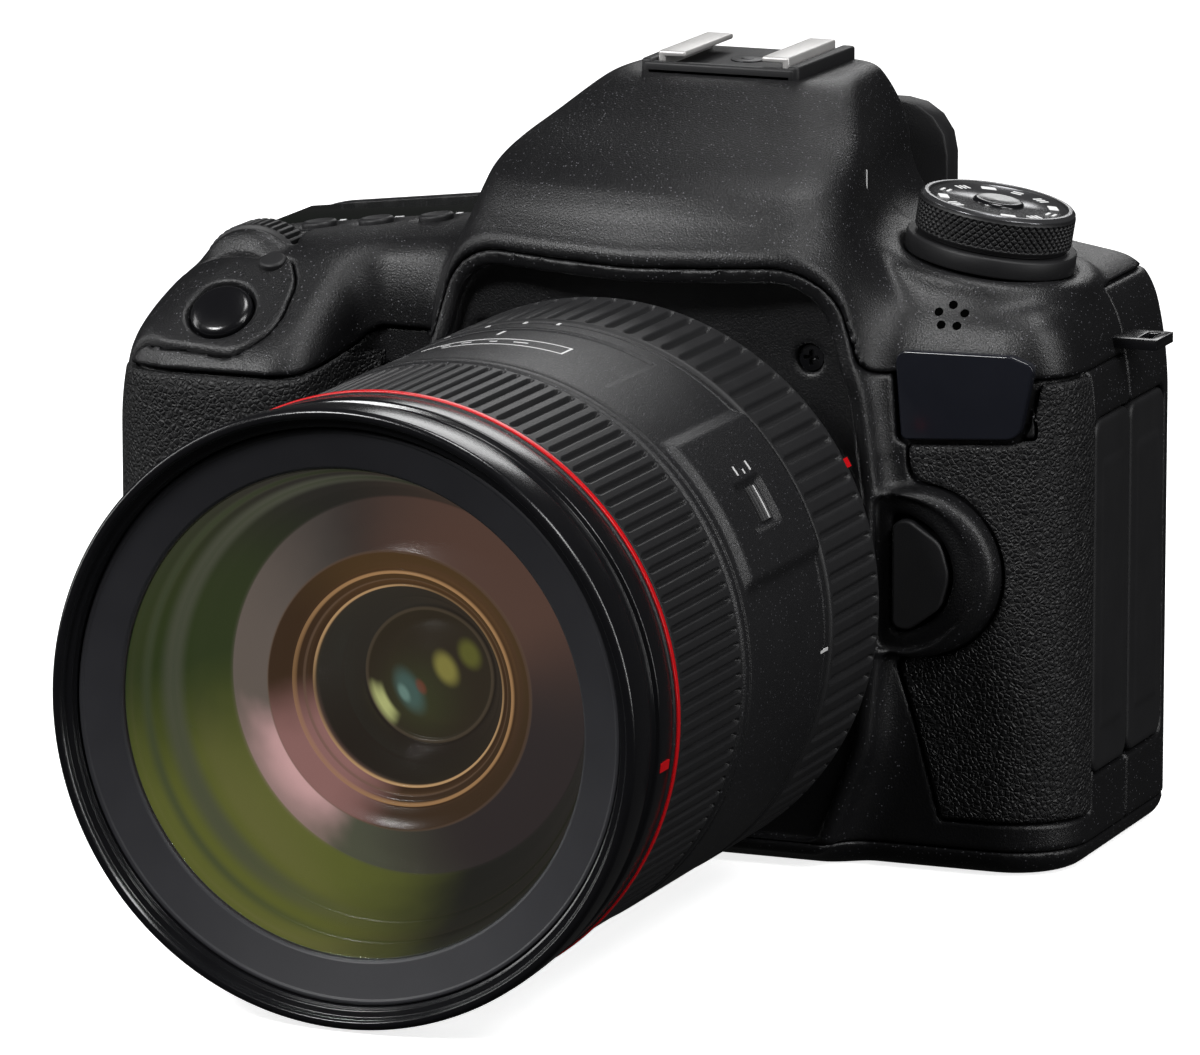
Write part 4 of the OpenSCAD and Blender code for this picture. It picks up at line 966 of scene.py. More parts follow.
def screwHead(name, origin, axis, r=1.95):
    # polar grid whose height drops inside a cross
    rad = np.concatenate([np.linspace(0.02, 1.25, 14), np.linspace(1.35, r - 0.25, 4), [r, r, r * 0.98]])
    angle = np.linspace(0, 2 * math.pi, 96, endpoint=False)
    u, v = rad[:, None] * np.cos(angle), rad[:, None] * np.sin(angle)
    arm = np.minimum(np.abs(u), np.abs(v))
    depth = 0.75 * (1 - ramp(arm, 0.16, 0.34)) * (1 - ramp(np.hypot(u, v), 0.95, 1.25))
    h = 0 * u - 0.12 * (rad[:, None] / r) ** 2 - depth
    h[-2], h[-1] = -0.35, -1.6
    local = np.stack([u, v, h], -1).reshape(-1, 3)
    points = local @ frameFor(axis) + np.array(origin, float)
    faces = [list(f) for f in gridFaces(len(rad), 96, around=True, flip=True)]
    faces += [list(range(96)), [len(points) - 96 + k for k in range(96)][::-1]]
    return meshPiece(name, points, faces)


screws = [screwHead("screw", (sx, -22.7, 77.5), (0, -1, 0)) for sx in (-26, 26)]
baseScrewX = (-40, 22, b["terminalSide"] - 12)
screws += [screwHead("screw", (sx, sy, 0.35), (0, 0, -1)) for sx in baseScrewX for sy in (-9, 23)]
parts["screws"] = joined("cross_head_screws", screws)
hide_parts("cover_screws")
# microphone holes: near-black discs standing just proud of the surface, painted shade in place of real
# holes
micTurns = [math.radians(90 + 72 * k) for k in range(5)]
micPlace = [(math.cos(a) * 2.1, math.sin(a) * 1.8) for a in micTurns]
mics = []
for du, dv in micPlace:
    at = rootAlong(outerField, (45.6 + du, -40, 84.0 + dv * 0.85), (0, 1, 0))
    n = normalAt(outerField, at)
    mics.append(spun("mic", [[-0.5, 0.02], [-0.5, 0.68], [0.05, 0.68, 0.02], [0.02, 0.02]],
                     at, n, 24, 0.05))
parts["mics"] = joined("mic_holes", mics)
at = rootAlong(outerField, (50, -1.0, 100.9), (-1, 0, 0), 40)
n = normalAt(outerField, at)
parts["index"] = slab("dial_index", roundBox((0.22, 1.55), 0.2, 3), lambda u, v,
                      w: np.stack([u * 0, u, v], 1)
                      + np.outer(w, n) + np.outer(v, [-(n[2] / max(n[0], 0.3)), 0, 0]) + at, -0.3, 0.1,
                      0.03, 1)

# flash shoe: dark frame and two bent rails
shoe = {"front": 8.5, "back": 28.5, "top": 116.4}
frameOutline = filletOutline([[-12.6, 6.2, 1.2], [12.4, 6.2, 1.2], [13.2, 30.6, 2], [-13.2, 30.6, 2]], 5)
shoePieces = [slab("plate", frameOutline, alongZ, 113.0, 114.7, 0.3)]
shoePieces.append(slab("lip", filletOutline([[-12.6, 6.2, 1.0], [12.4, 6.2, 1.0], [12.4, 8.0, 0.6],
                                             [-12.6, 8.0, 0.6]], 4),
                       alongZ, 113.6, 115.6, 0.4))
for sgn in (-1, 1):
    o = filletOutline([[10.9, 6.4, 0.5], [12.8, 6.4, 0.8], [13.2, 30.4, 0.8], [10.9, 30.4, 0.5]],
                      4) * [sgn, 1]
    shoePieces.append(slab("wall", o if sgn > 0 else o[::-1], alongZ, 113.6, 116.0, 0.4))
parts["shoeFrame"] = joined("shoe_frame", shoePieces)


def railAlong(sgn):
    # L-shaped section in x and z carried from front to back
    section = np.array([[10.6, 114.2], [10.6, 117.1], [6.2, 117.1], [6.2, 116.2], [9.5, 116.2],
                        [9.5, 114.2]]) * [sgn, 1]
    section = section if sgn < 0 else section[::-1]
    return slab("rail", section, lambda u, v, w: np.stack([u, w, v], 1), shoe["front"] - 0.4, shoe["back"],
                0.35, 4)


parts["rails"] = joined("shoe_rails", [railAlong(1), railAlong(-1)])
parts["contact"] = spun("shoe_contact", [[-0.5, 0.02], [-0.5, 2.6], [0.18, 2.6, 0.1], [0.22, 1.0],
                                         [0.32, 0.9], [0.34, 0.02]],
                        (0, 18.5, 114.7), (0, 0, 1), 64, 0.08)
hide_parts("hot_shoe")
print("top controls and shoe done")


# terminal covers, card door: rounded rubber flaps lying in their seats
def flapField(low, high, faceX, rib):
    def field(x, y, z):
        f = doorField(y, z, low, high, -0.12)
        ribbedArea = patch(z, low[1] + 6, high[1] - 6, 1.5) * patch(y, low[0] + 2.5, high[0] - 2.5, 1.2)
        out = x - faceX - 0.12 - rib * ribbedArea
        f = smoothMax(f, out, 0.8)
        f = smoothMax(f, bodyField(x, y, z) - 0.35, 0.6)
        return smoothMax(f, faceX - 1.9 - x, 0.3)
    return field


for key, node in (("frontTerminal", "front_terminal_cover"), ("rearTerminal", "rear_terminal_cover")):
    low, high = doors[key]
    parts[key] = netPiece(node + "_flap", flapField(low, high, b["terminalSide"], 0.35),
                          (62, low[0] - 1, 13),
                          (67, high[0] + 1, 69), 0.4, 1)
    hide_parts(node)


low, high = (-2.0, 18.0), (22.0, 64.0)


def cardFlap(x, y, z):
    # card door with a row of thumb ribs
    f = doorField(y, z, low, high, -0.12)
    thumb = patch(z, 30, 52, 0.5) * patch(y, 14, 20, 0.5)
    rib = 0.35 * patch(np.abs((z / 2.2) % 1 - 0.5), 0.1, 0.9, 0.15) * thumb
    f = smoothMax(f, -x - b["gripSide"] - 0.12 - rib, 0.6)
    return smoothMax(f, x + b["gripSide"] - 1.9, 0.3)


parts["card"] = netPiece("card_flap", cardFlap, (-88.5, -3, 17), (-84.5, 23, 65), 0.4, 1)
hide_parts("card_door")


def rearDisc(name, x, z, profile, segments=96, shape=None):
    return spun(name, profile, (x, 32, z), (0, 1, 0), segments, 0.2, shape)


def dialTeeth(angle, h, r):
    wave = np.abs((angle * 60 / (2 * math.pi)) % 1 - 0.5) * 2
    return h - 0.5 * ramp(wave, 0.5, 0.8) * patch(r, 14.2, 17.6, 0.4) * (h > 0.5), r


parts["quick"] = rearDisc("thumb_dial", -56, 30,
                          [[-2.6, 8.9], [1.4, 8.9, 0.3], [1.6, 9.6, 0.3], [1.2, 13.2, 1.0],
                          [2.2, 14.4, 0.5]] + [[2.7, 14.8 + 0.4 * k, 0.05] for k in range(7)] + [
                          [2.4, 17.6, 0.3], [1.6, 18.0, 0.3], [-2.6, 18.0]], 480, dialTeeth)
parts["set"] = rearDisc("set_cap", -56, 30, [[-1.6, 8.4], [1.7, 8.4, 0.4], [2.2, 7.4, 0.6], [2.0, 0.02]])
parts["stick"] = rearDisc("stick_cap", -42, 58,
                          [[-1, 4.0], [0.8, 4.0, 0.4], [1.6, 3.2, 0.4], [3.4, 3.0, 0.6], [3.6, 2.2, 0.4],
                                                 [3.2, 0.02]])
rearCaps = {"af_on": (-52, 77, 4.5), "ae_lock": (-64, 77, 3.9), "menu": (56, 77, 3.9),
            "info": (45, 77, 3.9),
            "playback": (56, 40, 3.9), "erase": (56, 24, 3.9)}
for key, (cx, cz, cr) in rearCaps.items():
    parts[key] = rearDisc(key + "_cap", cx, cz,
                          [[0.0, cr], [0.9, cr, 0.4], [1.5, cr - 0.7, 0.5], [1.35, 0.02]], 72)
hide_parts("quick_dial")
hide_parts("set_button")
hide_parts("joystick")
for key in rearCaps:
    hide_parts(key + "_button")


# marks on the lens: thin curved patches standing just proud of the barrel
def barrelPatch(name, outline, radius, rise=0.06):
    # outline in degrees and forward distance, laid on the barrel as a thin shell
    pts = np.asarray(outline, float)
    cells = []
    for r in (radius - 0.25, radius + rise):
        a = np.radians(pts[:, 0])
        cells.append(np.stack([r * np.cos(a), b["flangeY"] - pts[:, 1], b["axisZ"] + r * np.sin(a)], 1))
    n = len(pts)
    side = [[k, (k + 1) % n, n + (k + 1) % n, n + k] for k in range(n)]
    return meshPiece(name, np.concatenate(cells), side + [list(range(n))[::-1], [n + k for k in range(n)]],
                     smooth=False)


def bar(a0, a1, t0, t1):
    n = max(int(abs(a1 - a0) / 2), 1)
    up = [[a0 + (a1 - a0) * k / n, t0] for k in range(n + 1)]
    return up + [[a0 + (a1 - a0) * k / n, t1] for k in range(n, -1, -1)]


def stripOf(name, bars, radius, rise=0.06):
    made = []
    for a0, a1, t0, t1 in bars:
        n = max(int(abs(a1 - a0) / 2), 1)
        step = (a1 - a0) / n
        made += [barrelPatch("bit", bar(a0 + k * step, a0 + (k + 1) * step, t0, t1), radius,
                             rise) for k in range(n)]
    return joined(name, made)


windowMarks = [(79.0, 111.0, 47.2, 47.45), (79.0, 104.0, 51.3, 51.55), (78.6, 79.0, 47.2, 51.55),
               (96.4, 97.0, 40.6, 43.4),
               (99, 101, 49.0, 49.4), (103.5, 105.5, 49.0, 49.4), (93.5, 95, 49.1, 49.5),
               (87, 90, 49.1, 49.5)]
parts["scale"] = stripOf("distance_marks", windowMarks, 42.55)
parts["scaleSeat"] = stripOf("distance_plate", [(92 - 26.6, 92 + 26.6, 39.9, 58.1)], 42.5, 0.04)
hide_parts("distance_window")
parts["redIndex"] = stripOf("hood_index", [(-8.2, -6.4, 97.6, 100.9)], 43.42)
parts["mountIndex"] = stripOf("mount_index", [(28.0, 30.0, 9.2, 11.6)], 41.95)
parts["zoomIndex"] = stripOf("zoom_index", [(-3.2, -2.6, 34.2, 37.2)], 42.86)
parts["switchMarks"] = stripOf("switch_marks",
                               [(36.2, 38.2, 46.6, 47.0), (36.2, 38.2, 51.4, 51.8),
                                (36.0, 37.0, 49.0, 49.3)],
                               44.08)
zoomMarks = [(a, a + 0.5, 34.6, 36.0) for a in (88, 95, 103, 112, 122)]
parts["zoomMarks"] = stripOf("zoom_marks", zoomMarks, 42.86)


def knobHeight(name):
    # ribbed slide knob in the switch slot: rows along the axis, raised rib lines across
    a = np.radians(np.linspace(25.9, 34.1, 60))[:, None]
    t = np.linspace(45.9, 50.4, 26)[None, :]
    wave = np.abs(((t - 45.9) / 1.1) % 1 - 0.5) * 2
    r = 43.1 + 0.5 * ramp(wave, 0.35, 0.6) + 0 * a
    r = r - 0.8 * (1 - patch(np.degrees(a), 25.9, 34.1, 0.6)) - 0.8 * (1 - patch(t, 45.9, 50.4, 0.3))
    top = np.stack([r * np.cos(a), b["flangeY"] - t + 0 * a, b["axisZ"] + r * np.sin(a)], -1).reshape(-1, 3)
    low = np.stack([41.6 * np.cos(a) + 0 * t, b["flangeY"] - t + 0 * a,
                    b["axisZ"] + 41.6 * np.sin(a) + 0 * t], -1)
    n = 60 * 26
    f = gridFaces(60, 26)
    edge = ([(i * 26, (i + 1) * 26) for i in range(59)] + [(59 * 26 + j,
                                                            59 * 26 + j + 1) for j in range(25)]
            + [((i + 1) * 26 + 25, i * 26 + 25) for i in range(59)] + [(j + 1, j) for j in range(25)])
    walls = [[p, n + p, n + q, q] for p, q in edge]
    return meshPiece(name, np.concatenate([top, low.reshape(-1, 3)]),
                     [list(x) for x in f[:, ::-1]] + [[n + v for v in x] for x in f] + walls)


parts["knob"] = knobHeight("focus_switch_knob")
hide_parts("af_switch")
parts["knobLine"] = stripOf("knob_line", [(26.6, 33.4, 47.9, 48.25)], 43.62)
print("small parts and marks done")


# finishes
class Value:
    # wraps a socket so that sums on it add Math nodes

    def __init__(self, tree, socket):
        self.tree, self.socket = tree, socket

    def math(self, kind, *others):
        n = self.tree.nodes.new("ShaderNodeMath")
        n.operation = kind
        for slot, v in zip(n.inputs, (self,) + others):
            plug(self.tree, v, slot)
        return Value(self.tree, n.outputs[0])

    def __add__(self, o): return self.math("ADD", o)
    def __radd__(self, o): return self.math("ADD", o)
    def __sub__(self, o): return self.math("SUBTRACT", o)
    def __rsub__(self, o): return (self * -1.0) + o
    def __mul__(self, o): return self.math("MULTIPLY", o)
    def __rmul__(self, o): return self.math("MULTIPLY", o)
    def __truediv__(self, o): return self.math("DIVIDE", o)
    def __rtruediv__(self, o): return (self.math("POWER", -1.0)) * o
    def __pow__(self, o): return self.math("POWER", o)
    def __gt__(self, o): return self.math("GREATER_THAN", o)
    def absolute(self): return self.math("ABSOLUTE")

    def smooth(self, low, high):
        n = self.tree.nodes.new("ShaderNodeMapRange")
        n.interpolation_type = "SMOOTHSTEP"
        plug(self.tree, self, n.inputs["Value"])
        n.inputs["From Min"].default_value, n.inputs["From Max"].default_value = low, high
        return Value(self.tree, n.outputs["Result"])


def plug(tree, v, slot):
    if isinstance(v, Value):
        tree.links.new(v.socket, slot)
    elif isinstance(v, bpy.types.NodeSocket):
        tree.links.new(v, slot)
    elif isinstance(v, (tuple, list)) and len(v) == 3 and slot.type == "RGBA":
        slot.default_value = (*v, 1)
    else:
        slot.default_value = v


class Finish:
    # a material with one shader; node() adds any node from its settings, then its sockets

    def __init__(self, name, **values):
        self.material = bpy.data.materials.new(name)
        self.material.use_nodes = True
        self.tree = self.material.node_tree
        self.tree.nodes.clear()
        self.shader = self.node("ShaderNodeBsdfPrincipled", {}, **values)
        self.out = self.node("ShaderNodeOutputMaterial", {})
        self.tree.links.new(self.shader.outputs[0], self.out.inputs[0])
        coords = self.node("ShaderNodeTexCoord", {})
        self.place = coords.outputs["Object"]
        parts = self.node("ShaderNodeSeparateXYZ", {}, Vector=self.place)
        self.x, self.y, self.z = (Value(self.tree, parts.outputs[i]) / mm for i in range(3))

    def node(self, kind, settings, **values):
        n = self.tree.nodes.new(kind)
        for k, v in settings.items():
            setattr(n, k, v)
        for k, v in values.items():
            plug(self.tree, v, n.inputs[k.replace("_", " ")])
        return n

    def noise(self, size, detail=2.0, rough=0.5, output="Fac", place=None):
        # noise whose features are about size millimetres
        n = self.node("ShaderNodeTexNoise", {}, Vector=place or self.place, Scale=1 / (size * mm),
                      Detail=detail,
                      Roughness=rough)
        return Value(self.tree, n.outputs[output])

    def cells(self, size, feature="F1", place=None):
        return self.node("ShaderNodeTexVoronoi", {"feature": feature}, Vector=place or self.place,
                         Scale=1 / (size * mm))

    def mix(self, factor, a, c, kind="MIX"):
        n = self.tree.nodes.new("ShaderNodeMix")
        n.data_type, n.blend_type = "RGBA", kind
        plug(self.tree, factor, n.inputs[0])
        plug(self.tree, a, n.inputs[6])
        plug(self.tree, c, n.inputs[7])
        return n.outputs[2]

    def bump(self, height, distance, strength=1.0):
        # height from 0 to 1 stands for the given millimetres
        n = self.node("ShaderNodeBump", {}, Height=height, Distance=distance * mm, Strength=strength)
        self.set(Normal=n.outputs[0])
        return self

    def set(self, **values):
        for k, v in values.items():
            plug(self.tree, v, self.shader.inputs[k.replace("_", " ")])
        return self


def paintedPlastic(name, base=(0.0055, 0.0055, 0.0062), rough=0.40, glintAmount=0.5):
    # fine speckled moulding paint: grains of bump, and a few flecks painted light grey as painted glints,
    # with lower roughness and a bump of their own
    m = Finish(name, IOR=1.5)
    grain = m.noise(0.28, 2, 0.6)
    broad = m.noise(9, 2)
    near = m.cells(0.48)
    spots, chosen = (Value(m.tree, near.outputs[k]) for k in ("Distance", "Color"))
    glintFleck = (1 - spots.smooth(0.10, 0.28)) * (chosen > 0.66) * glintAmount
    tone = m.mix(broad, base, tuple(c * 1.35 for c in base))
    # painted glints: the flecks' base colour is light grey, the plastic round them near black
    m.set(Base_Color=m.mix(glintFleck, tone, (0.30, 0.30, 0.33)))
    m.set(Roughness=rough + (grain - 0.5) * 0.30 + (broad - 0.5) * 0.06 - glintFleck * 0.2)
    return m.bump(grain + glintFleck * 0.5, 0.085).material


def pebbled(name, size=0.72, deep=0.19, base=(0.008, 0.008, 0.009), rough=0.40):
    # leather of rounded pebbles with thin valleys between them
    m = Finish(name, IOR=1.5)
    wander = m.node("ShaderNodeTexNoise", {}, Vector=m.place, Scale=1 / (1.4 * mm), Detail=2.0)
    moved = m.node("ShaderNodeVectorMath", {"operation": "MULTIPLY_ADD"})
    plug(m.tree, wander.outputs["Color"], moved.inputs[0])
    moved.inputs[1].default_value = (0.55 * mm,) * 3
    plug(m.tree, m.place, moved.inputs[2])
    near = Value(m.tree, m.cells(size, "F1", moved.outputs[0]).outputs["Distance"])
    edge = Value(m.tree, m.cells(size, "DISTANCE_TO_EDGE", moved.outputs[0]).outputs["Distance"])
    fine = m.noise(0.22, 2)
    dome = edge.smooth(0.0, 0.26) * 0.75 + (1 - near) * 0.25
    # painted shade: the base colour falls to 0.4 of itself in the valleys between pebbles
    m.set(Base_Color=m.mix(edge.smooth(0.0, 0.12), tuple(c * 0.4 for c in base), base))
    m.set(Roughness=rough + (1 - dome) * 0.25 + (fine - 0.5) * 0.15)
    return m.bump(dome + fine * 0.10, deep).material


def satin(name, base, rough, grainSize=0.3, deep=0.012, metal=0.0, **more):
    m = Finish(name, Metallic=metal, **more)
    grain = m.noise(grainSize, 3, 0.6)
    broad = m.noise(6, 2)
    m.set(Base_Color=m.mix(broad, base, tuple(c * 1.25 for c in base)))
    m.set(Roughness=rough + (grain - 0.5) * 0.12 + (broad - 0.5) * 0.08)
    return m.bump(grain, deep).material


def dress(ob, material):
    ob.data.materials.clear()
    ob.data.materials.append(material)


finishes = {
    "plastic": paintedPlastic("speckled_plastic"),
    "collar": paintedPlastic("speckled_barrel", (0.010, 0.010, 0.011), 0.44, 0.4),
    "leather": pebbled("pebbled_leather"),
    "grip": pebbled("pebbled_grip", 0.78, 0.20, (0.008, 0.008, 0.009), 0.42),
    "rubber": satin("ribbed_rubber", (0.013, 0.013, 0.014), 0.50),
    "gloss": satin("gloss_black", (0.006, 0.006, 0.007), 0.20),
    "matte": satin("matte_black", (0.010, 0.010, 0.011), 0.52, 0.2, 0.02),
    "name": satin("name_ring", (0.024, 0.024, 0.028), 0.50, 0.2, 0.004),
    "red": satin("red_band", (0.60, 0.004, 0.008), 0.30),
    "metal": satin("brushed_steel", (0.62, 0.61, 0.60), 0.42, metal=0.6),
    "dark": satin("dark_metal", (0.05, 0.05, 0.052), 0.4, metal=1.0),
    "white": satin("white_paint", (0.72, 0.72, 0.72), 0.45),
    # painted shade: near-black and without reflection, for the discs that stand in for holes
    "hole": satin("hole_black", (0.001, 0.001, 0.001), 0.9, IOR=1.0),
    "plate": satin("plate_gloss", (0.011, 0.012, 0.017), 0.16, 0.3, 0.002),
    "bevel": satin("polished_bevel", (0.10, 0.10, 0.105), 0.20, metal=0.7),
    "flap": satin("rubber_flap", (0.010, 0.010, 0.011), 0.55, 0.25, 0.02),
    "screen": satin("screen_glass", (0.004, 0.004, 0.005), 0.08, 0.3, 0.0005),
    "lcd": satin("display_panel", (0.008, 0.009, 0.008), 0.10, 0.3, 0.0005),
    "chrome": satin("satin_chrome", (0.60, 0.60, 0.61), 0.22, metal=1.0),
    "board": satin("solder_mask", (0.010, 0.075, 0.030), 0.35),
    "sensor": satin("sensor_filter", (0.05, 0.09, 0.08), 0.10, 0.3, 0.0005),
    "silver": satin("silvered_glass", (0.85, 0.85, 0.87), 0.04, 0.3, 0.0005, metal=1.0),
    "optical": satin("optical_glass", (0.10, 0.12, 0.13), 0.05, 0.3, 0.0005),
    "battery": satin("battery_case", (0.035, 0.035, 0.037), 0.5),
}


def wear(ob, kind):
    dress(ob, finishes[kind])


nodeWears = {"body_mount": "chrome", "lens_mount": "chrome", "pentaprism": "optical",
             "image_sensor": "sensor",
             "main_board": "board", "rear_screen": "screen", "top_screen": "lcd", "battery": "battery",
             "main_mirror": "silver", "eyecup": "flap", "rear_optics": "optical", "focus_group": "optical"}
for nodeName, o in frame["nodes"].items():
    kind = nodeWears.get(nodeName, "gloss" if nodeName == "strap_lugs" else "matte")
    wear(o, kind)
    weld = o.modifiers.new("weld", "WELD")
    weld.merge_threshold = 0.00002
    soften(o, 0.3, 2, 35)
for key, kind in {"top": "plastic", "front": "plastic", "rear": "plastic", "base": "plastic",
                  "grip": "grip",
                  "leather": "leather"}.items():
    wear(covers[key], kind)
for key, kind in {"zoom": "rubber", "focus": "rubber", "front": "gloss", "red": "red", "barrel": "collar",
                  "name": "name"}.items():
    wear(rings[key], kind)
wears = {"finger": "plastic", "shutter": "gloss", "function": "matte", "mode": "matte", "modeRing": "bevel",
         "lock": "gloss", "marks": "white", "wheel": "matte", "light": "matte", "metering": "matte",
         "drive": "matte",
         "iso": "matte", "release": "matte", "plate": "plate", "mics": "hole", "index": "white",
         "shoeFrame": "matte",
         "rails": "metal", "contact": "dark", "frontTerminal": "flap", "rearTerminal": "flap",
         "scale": "white",
         "scaleSeat": "gloss", "deckMarks": "white", "redIndex": "red", "mountIndex": "red",
         "zoomIndex": "white", "switchMarks": "white",
         "zoomMarks": "white", "knob": "matte", "knobLine": "white", "card": "plastic", "quick": "matte",
         "set": "matte", "stick": "matte"}
for key in rearCaps:
    wears[key] = "matte"
for key, kind in wears.items():
    wear(parts[key], kind)
wear(parts["screws"], "gloss")


def paintedLensReflections():
    # painted reflections: colours the coated elements throw back, painted round the axis as emission so
    # that
    # the cell glows: r is the distance from it in millimetres, right and up are the direction from it
    m = Finish("coated_elements", Base_Color=(0.01, 0.01, 0.01), Roughness=0.25, Emission_Strength=1.0)
    x, z = m.x, m.z - b["axisZ"]
    r = (x * x + z * z) ** 0.5
    right, up = x / (r + 0.01), z / (r + 0.01)
    soft = m.noise(7, 2) - 0.5

    def toward(degrees, low, high):
        # 0 to 1 as the direction turns towards the angle
        a = math.radians(degrees)
        return (right * math.cos(a) + up * math.sin(a) + soft * 0.12).smooth(low, high)

    def ring(at, half, fade):
        return 1 - (r - at).absolute().smooth(half, half + fade)

    def spot(cx, cz, size):
        return 1 - (((x - cx) ** 2 + (z - cz) ** 2) ** 0.5).smooth(0, size)

    def over(colour, weight, paintedReflection):
        return m.mix(weight, colour, paintedReflection)

    wall = over((0.012, 0.012, 0.010), toward(190, 0.2, 1.0), (0.022, 0.034, 0.010))
    wall = over(wall, toward(233, 0.50, 1.02), (0.095, 0.105, 0.022))
    wall = over(wall, ring(31.8, 0.3, 0.9) * toward(170, -0.4, 0.7) * 0.8, (0.06, 0.065, 0.045))
    wall = over(wall, ring(33.7, 0.1, 0.5) * toward(180, -0.3, 0.8) * 0.7, (0.045, 0.055, 0.03))
    bowl = over((0.030, 0.027, 0.025), toward(48, 0.25, 1.0), (0.082, 0.045, 0.034))
    bowl = over(bowl, toward(185, 0.1, 1.0), (0.115, 0.092, 0.080))
    bowl = over(bowl, toward(262, 0.72, 1.0), (0.065, 0.068, 0.048))
    bowl = over(bowl, toward(219, 0.84, 1.02) * (0.35 + 0.65 * (1 - r.smooth(20, 28))), (0.56, 0.33, 0.33))
    bowl = over(bowl, toward(320, 0.3, 1.0), (0.028, 0.022, 0.022))
    shelf = over((0.040, 0.022, 0.012), toward(222, 0.70, 1.0), (0.24, 0.12, 0.11))
    shelf = over(shelf, toward(70, 0.1, 1.0), (0.062, 0.032, 0.014))
    deep = over((0.017, 0.013, 0.010), toward(140, 0.1, 1.0), (0.024, 0.021, 0.017))
    core = over((0.026, 0.020, 0.013), spot(-1.0, -3.0, 9.0), (0.034, 0.036, 0.016))
    paintedReflection = over(wall, 1 - r.smooth(27.0, 27.5), bowl)
    paintedReflection = over(paintedReflection, 1 - r.smooth(19.9, 20.3), shelf)
    paintedReflection = over(paintedReflection, 1 - r.smooth(14.0, 15.0), deep)
    paintedReflection = over(paintedReflection, 1 - r.smooth(9.3, 10.2), core)
    rimLight = 0.45 + toward(70, -0.4, 1.0) * 0.5 + toward(300, 0.2, 1.0) * 0.4
    paintedReflection = over(paintedReflection, ring(16.75, 0.12, 0.22) * rimLight, (0.34, 0.19, 0.085))
    innerLight = 0.3 + toward(285, -0.2, 1.0) * 0.7 + toward(130, 0.5, 1.0) * 0.6
    paintedReflection = over(paintedReflection, ring(14.5, 0.08, 0.16) * innerLight, (0.44, 0.27, 0.13))
    paintedReflection = over(paintedReflection, ring(15.6, 0.05, 0.14) * 0.5, (0.12, 0.075, 0.05))
    paintedReflection = over(paintedReflection, ring(9.65, 0.1, 0.25) * 0.5, (0.08, 0.06, 0.04))
    paintedReflection = over(paintedReflection, ring(20.1, 0.08, 0.2) * 0.45, (0.10, 0.065, 0.045))
    for cx, cz, size, colour, strength in ((6.3, 3.6, 3.0, (0.10, 0.10, 0.022), 0.9),
                                           (3.1, 1.5, 3.4, (0.20, 0.18, 0.045), 0.95),
                                           (-2.6, -2.2, 4.6, (0.055, 0.105, 0.095), 0.8),
                                           (-3.4, -2.6, 1.9, (0.13, 0.22, 0.19), 0.8),
                                           (-0.6, -1.4, 1.6, (0.16, 0.045, 0.028), 0.6)):
        along = ((x - cx) * 0.86 + (z - cz) * 0.5) * 1.7
        across = (z - cz) * 0.86 - (x - cx) * 0.5
        paintedReflection = over(paintedReflection, (1 - ((along ** 2 + across ** 2) ** 0.5).smooth(size * 0.35, size)) * strength,
                    colour)
    paintedReflection = over(paintedReflection, ring(8.4, 0.5, 1.0) * toward(212, 0.90, 1.0), (0.40, 0.42, 0.17))
    # painted reflections given as emission colour: the cell glows though it is no lamp
    m.set(Emission_Color=paintedReflection)
    m.set(Roughness=0.25 + soft * 0.1)
    return m.material


finishes["cell"] = paintedLensReflections()
wear(optics["cell"], "cell")
glass = Finish("coated_glass", Base_Color=(0.02, 0.02, 0.02), Roughness=0.02)
clear = glass.node("ShaderNodeBsdfTransparent", {})
shine = glass.node("ShaderNodeBsdfGlossy", {}, Color=(0.9, 1.0, 0.92), Roughness=0.02)
facing = glass.node("ShaderNodeFresnel", {}, IOR=1.35)
both = glass.node("ShaderNodeMixShader", {})
plug(glass.tree, facing.outputs[0], both.inputs[0])
glass.tree.links.new(clear.outputs[0], both.inputs[1])
glass.tree.links.new(shine.outputs[0], both.inputs[2])
glass.tree.links.new(both.outputs[0], glass.out.inputs[0])
dress(optics["front"], glass.material)
print("finishes done")

# what rides on what
for key in covers:
    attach(covers[key], "camera_body")
follows = {"shutter": "shutter_button", "function": "function_button", "mode": "mode_dial",
           "modeRing": "mode_dial",
           "marks": "mode_dial", "lock": "mode_lock_button", "wheel": "main_dial", "light": "light_button",
           "metering": "metering_button", "drive": "drive_button", "iso": "iso_button",
           "release": "release_button",
           "frontTerminal": "front_terminal_cover", "rearTerminal": "rear_terminal_cover",
           "redIndex": "front_barrel",
           "knob": "af_switch", "knobLine": "af_switch", "card": "card_door", "quick": "quick_dial",
           "set": "set_button",
           "stick": "joystick"}
for key in rearCaps:
    follows[key] = key + "_button"
for key, ob in parts.items():
    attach(ob, frame["nodes"][follows[key]]["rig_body"] if key in follows else "camera_body")
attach(rings["barrel"], "camera_body")
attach(rings["red"], "camera_body")
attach(rings["zoom"], frame["nodes"]["zoom_ring"]["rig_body"])
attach(rings["focus"], frame["nodes"]["focus_ring"]["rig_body"])
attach(rings["front"], frame["nodes"]["front_barrel"]["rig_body"])
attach(rings["name"], frame["nodes"]["front_barrel"]["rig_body"])
for key in optics:
    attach(optics[key], frame["nodes"]["front_optics"]["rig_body"])

# floor, backdrop and lights
lightSet = {"key": 11, "top": 5, "side": 5, "back": 3, "left": 4, "right": 4.5, "world": 0.02}


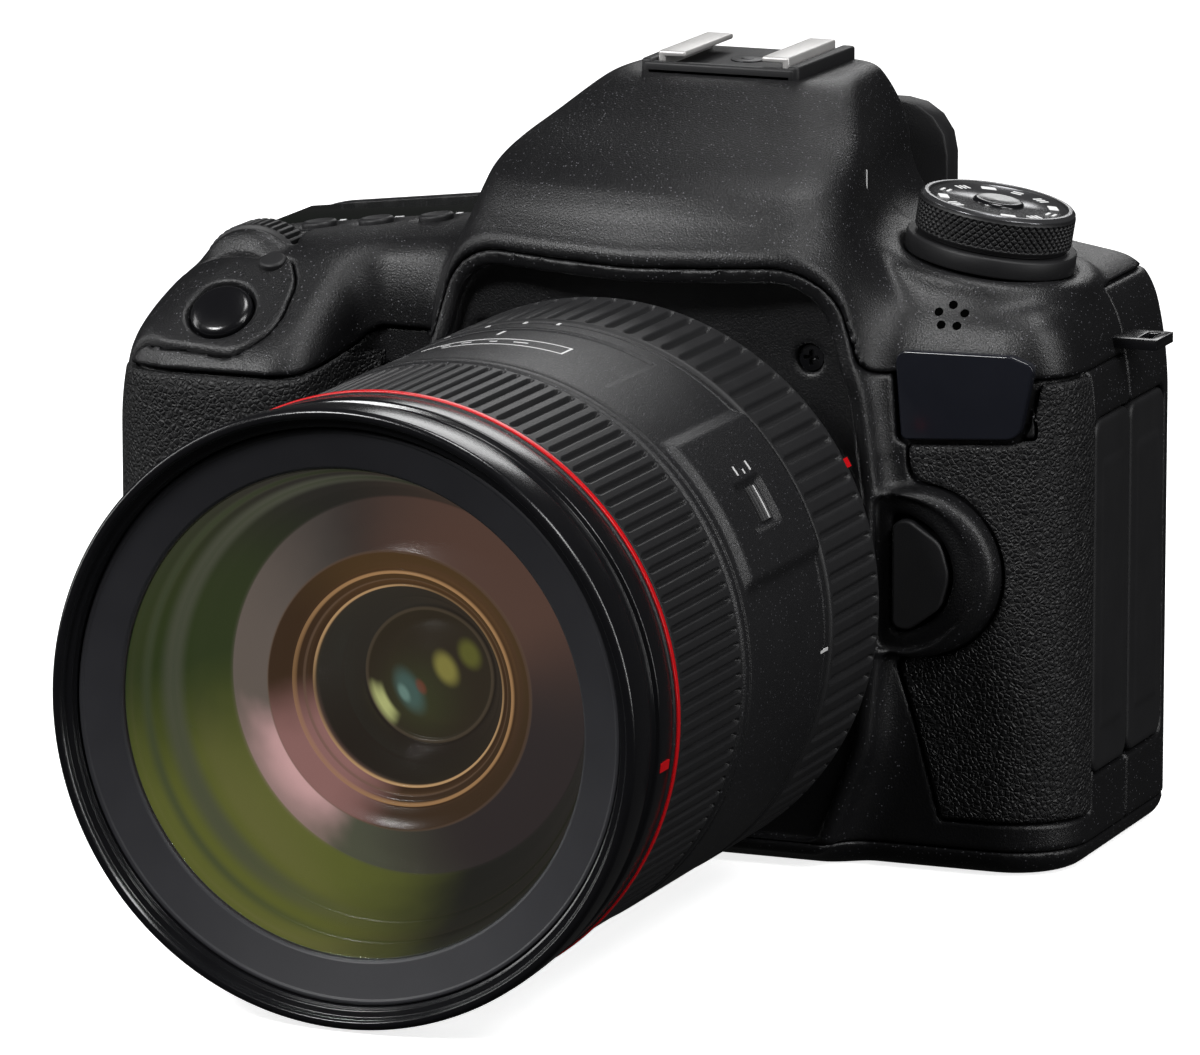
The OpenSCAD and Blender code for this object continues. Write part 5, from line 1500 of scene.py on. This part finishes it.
def stagePlane(name, points, strength):
    mesh = bpy.data.meshes.new(name)
    mesh.from_pydata(points, [], [list(range(len(points)))])
    ob = bpy.data.objects.new(name, mesh)
    scene.collection.objects.link(ob)
    m = Finish(name, Base_Color=(0.9, 0.9, 0.9), Roughness=0.9, Emission_Color=(1, 1, 1),
               Emission_Strength=strength)
    dress(ob, m.material)
    ob.visible_glossy = False
    ob.visible_diffuse = False
    return ob


def areaLight(name, place, aim, size, power, color=(1, 1, 1)):
    data = bpy.data.lights.new(name, "AREA")
    data.shape, data.size, data.size_y = "RECTANGLE", size[0], size[1]
    data.energy, data.color = power, color
    ob = bpy.data.objects.new(name, data)
    ob.location = place
    ob.rotation_euler = (Vector(aim) - Vector(place)).to_track_quat("-Z", "Y").to_euler()
    scene.collection.objects.link(ob)
    return ob


stagePlane("floor", [(-30, -30, 0), (30, -30, 0), (30, 30, 0), (-30, 30, 0)], 0.80)
world = bpy.data.worlds.new("studio")
scene.world = world
world.use_nodes = True
wt = world.node_tree
wt.nodes.clear()
path = wt.nodes.new("ShaderNodeLightPath")
seen = wt.nodes.new("ShaderNodeBackground")
seen.inputs[0].default_value, seen.inputs[1].default_value = (1, 1, 1, 1), 1.0
lit = wt.nodes.new("ShaderNodeBackground")
lit.inputs[0].default_value, lit.inputs[1].default_value = (1, 1, 1, 1), lightSet["world"]
pick = wt.nodes.new("ShaderNodeMixShader")
end = wt.nodes.new("ShaderNodeOutputWorld")
wt.links.new(path.outputs["Is Camera Ray"], pick.inputs[0])
wt.links.new(lit.outputs[0], pick.inputs[1])
wt.links.new(seen.outputs[0], pick.inputs[2])
wt.links.new(pick.outputs[0], end.inputs[0])
aim = (0, -0.03, 0.06)
areaLight("key_box", (-0.48, -0.92, 0.86), aim, (0.34, 0.26), lightSet["key"])
areaLight("top_box", (0.15, 0.10, 1.2), aim, (0.4, 0.3), lightSet["top"])
areaLight("side_box", (0.85, -0.45, 0.95), aim, (0.40, 0.30), lightSet["side"])
areaLight("back_fill", (-0.3, 1.5, 0.8), aim, (0.6, 0.5), lightSet["back"])
areaLight("left_strip", (-1.1, -0.25, 0.45), aim, (0.25, 0.9), lightSet["left"])
areaLight("right_strip", (1.15, -0.20, 0.40), aim, (0.16, 0.8), lightSet["right"])
print("stage and lights done")
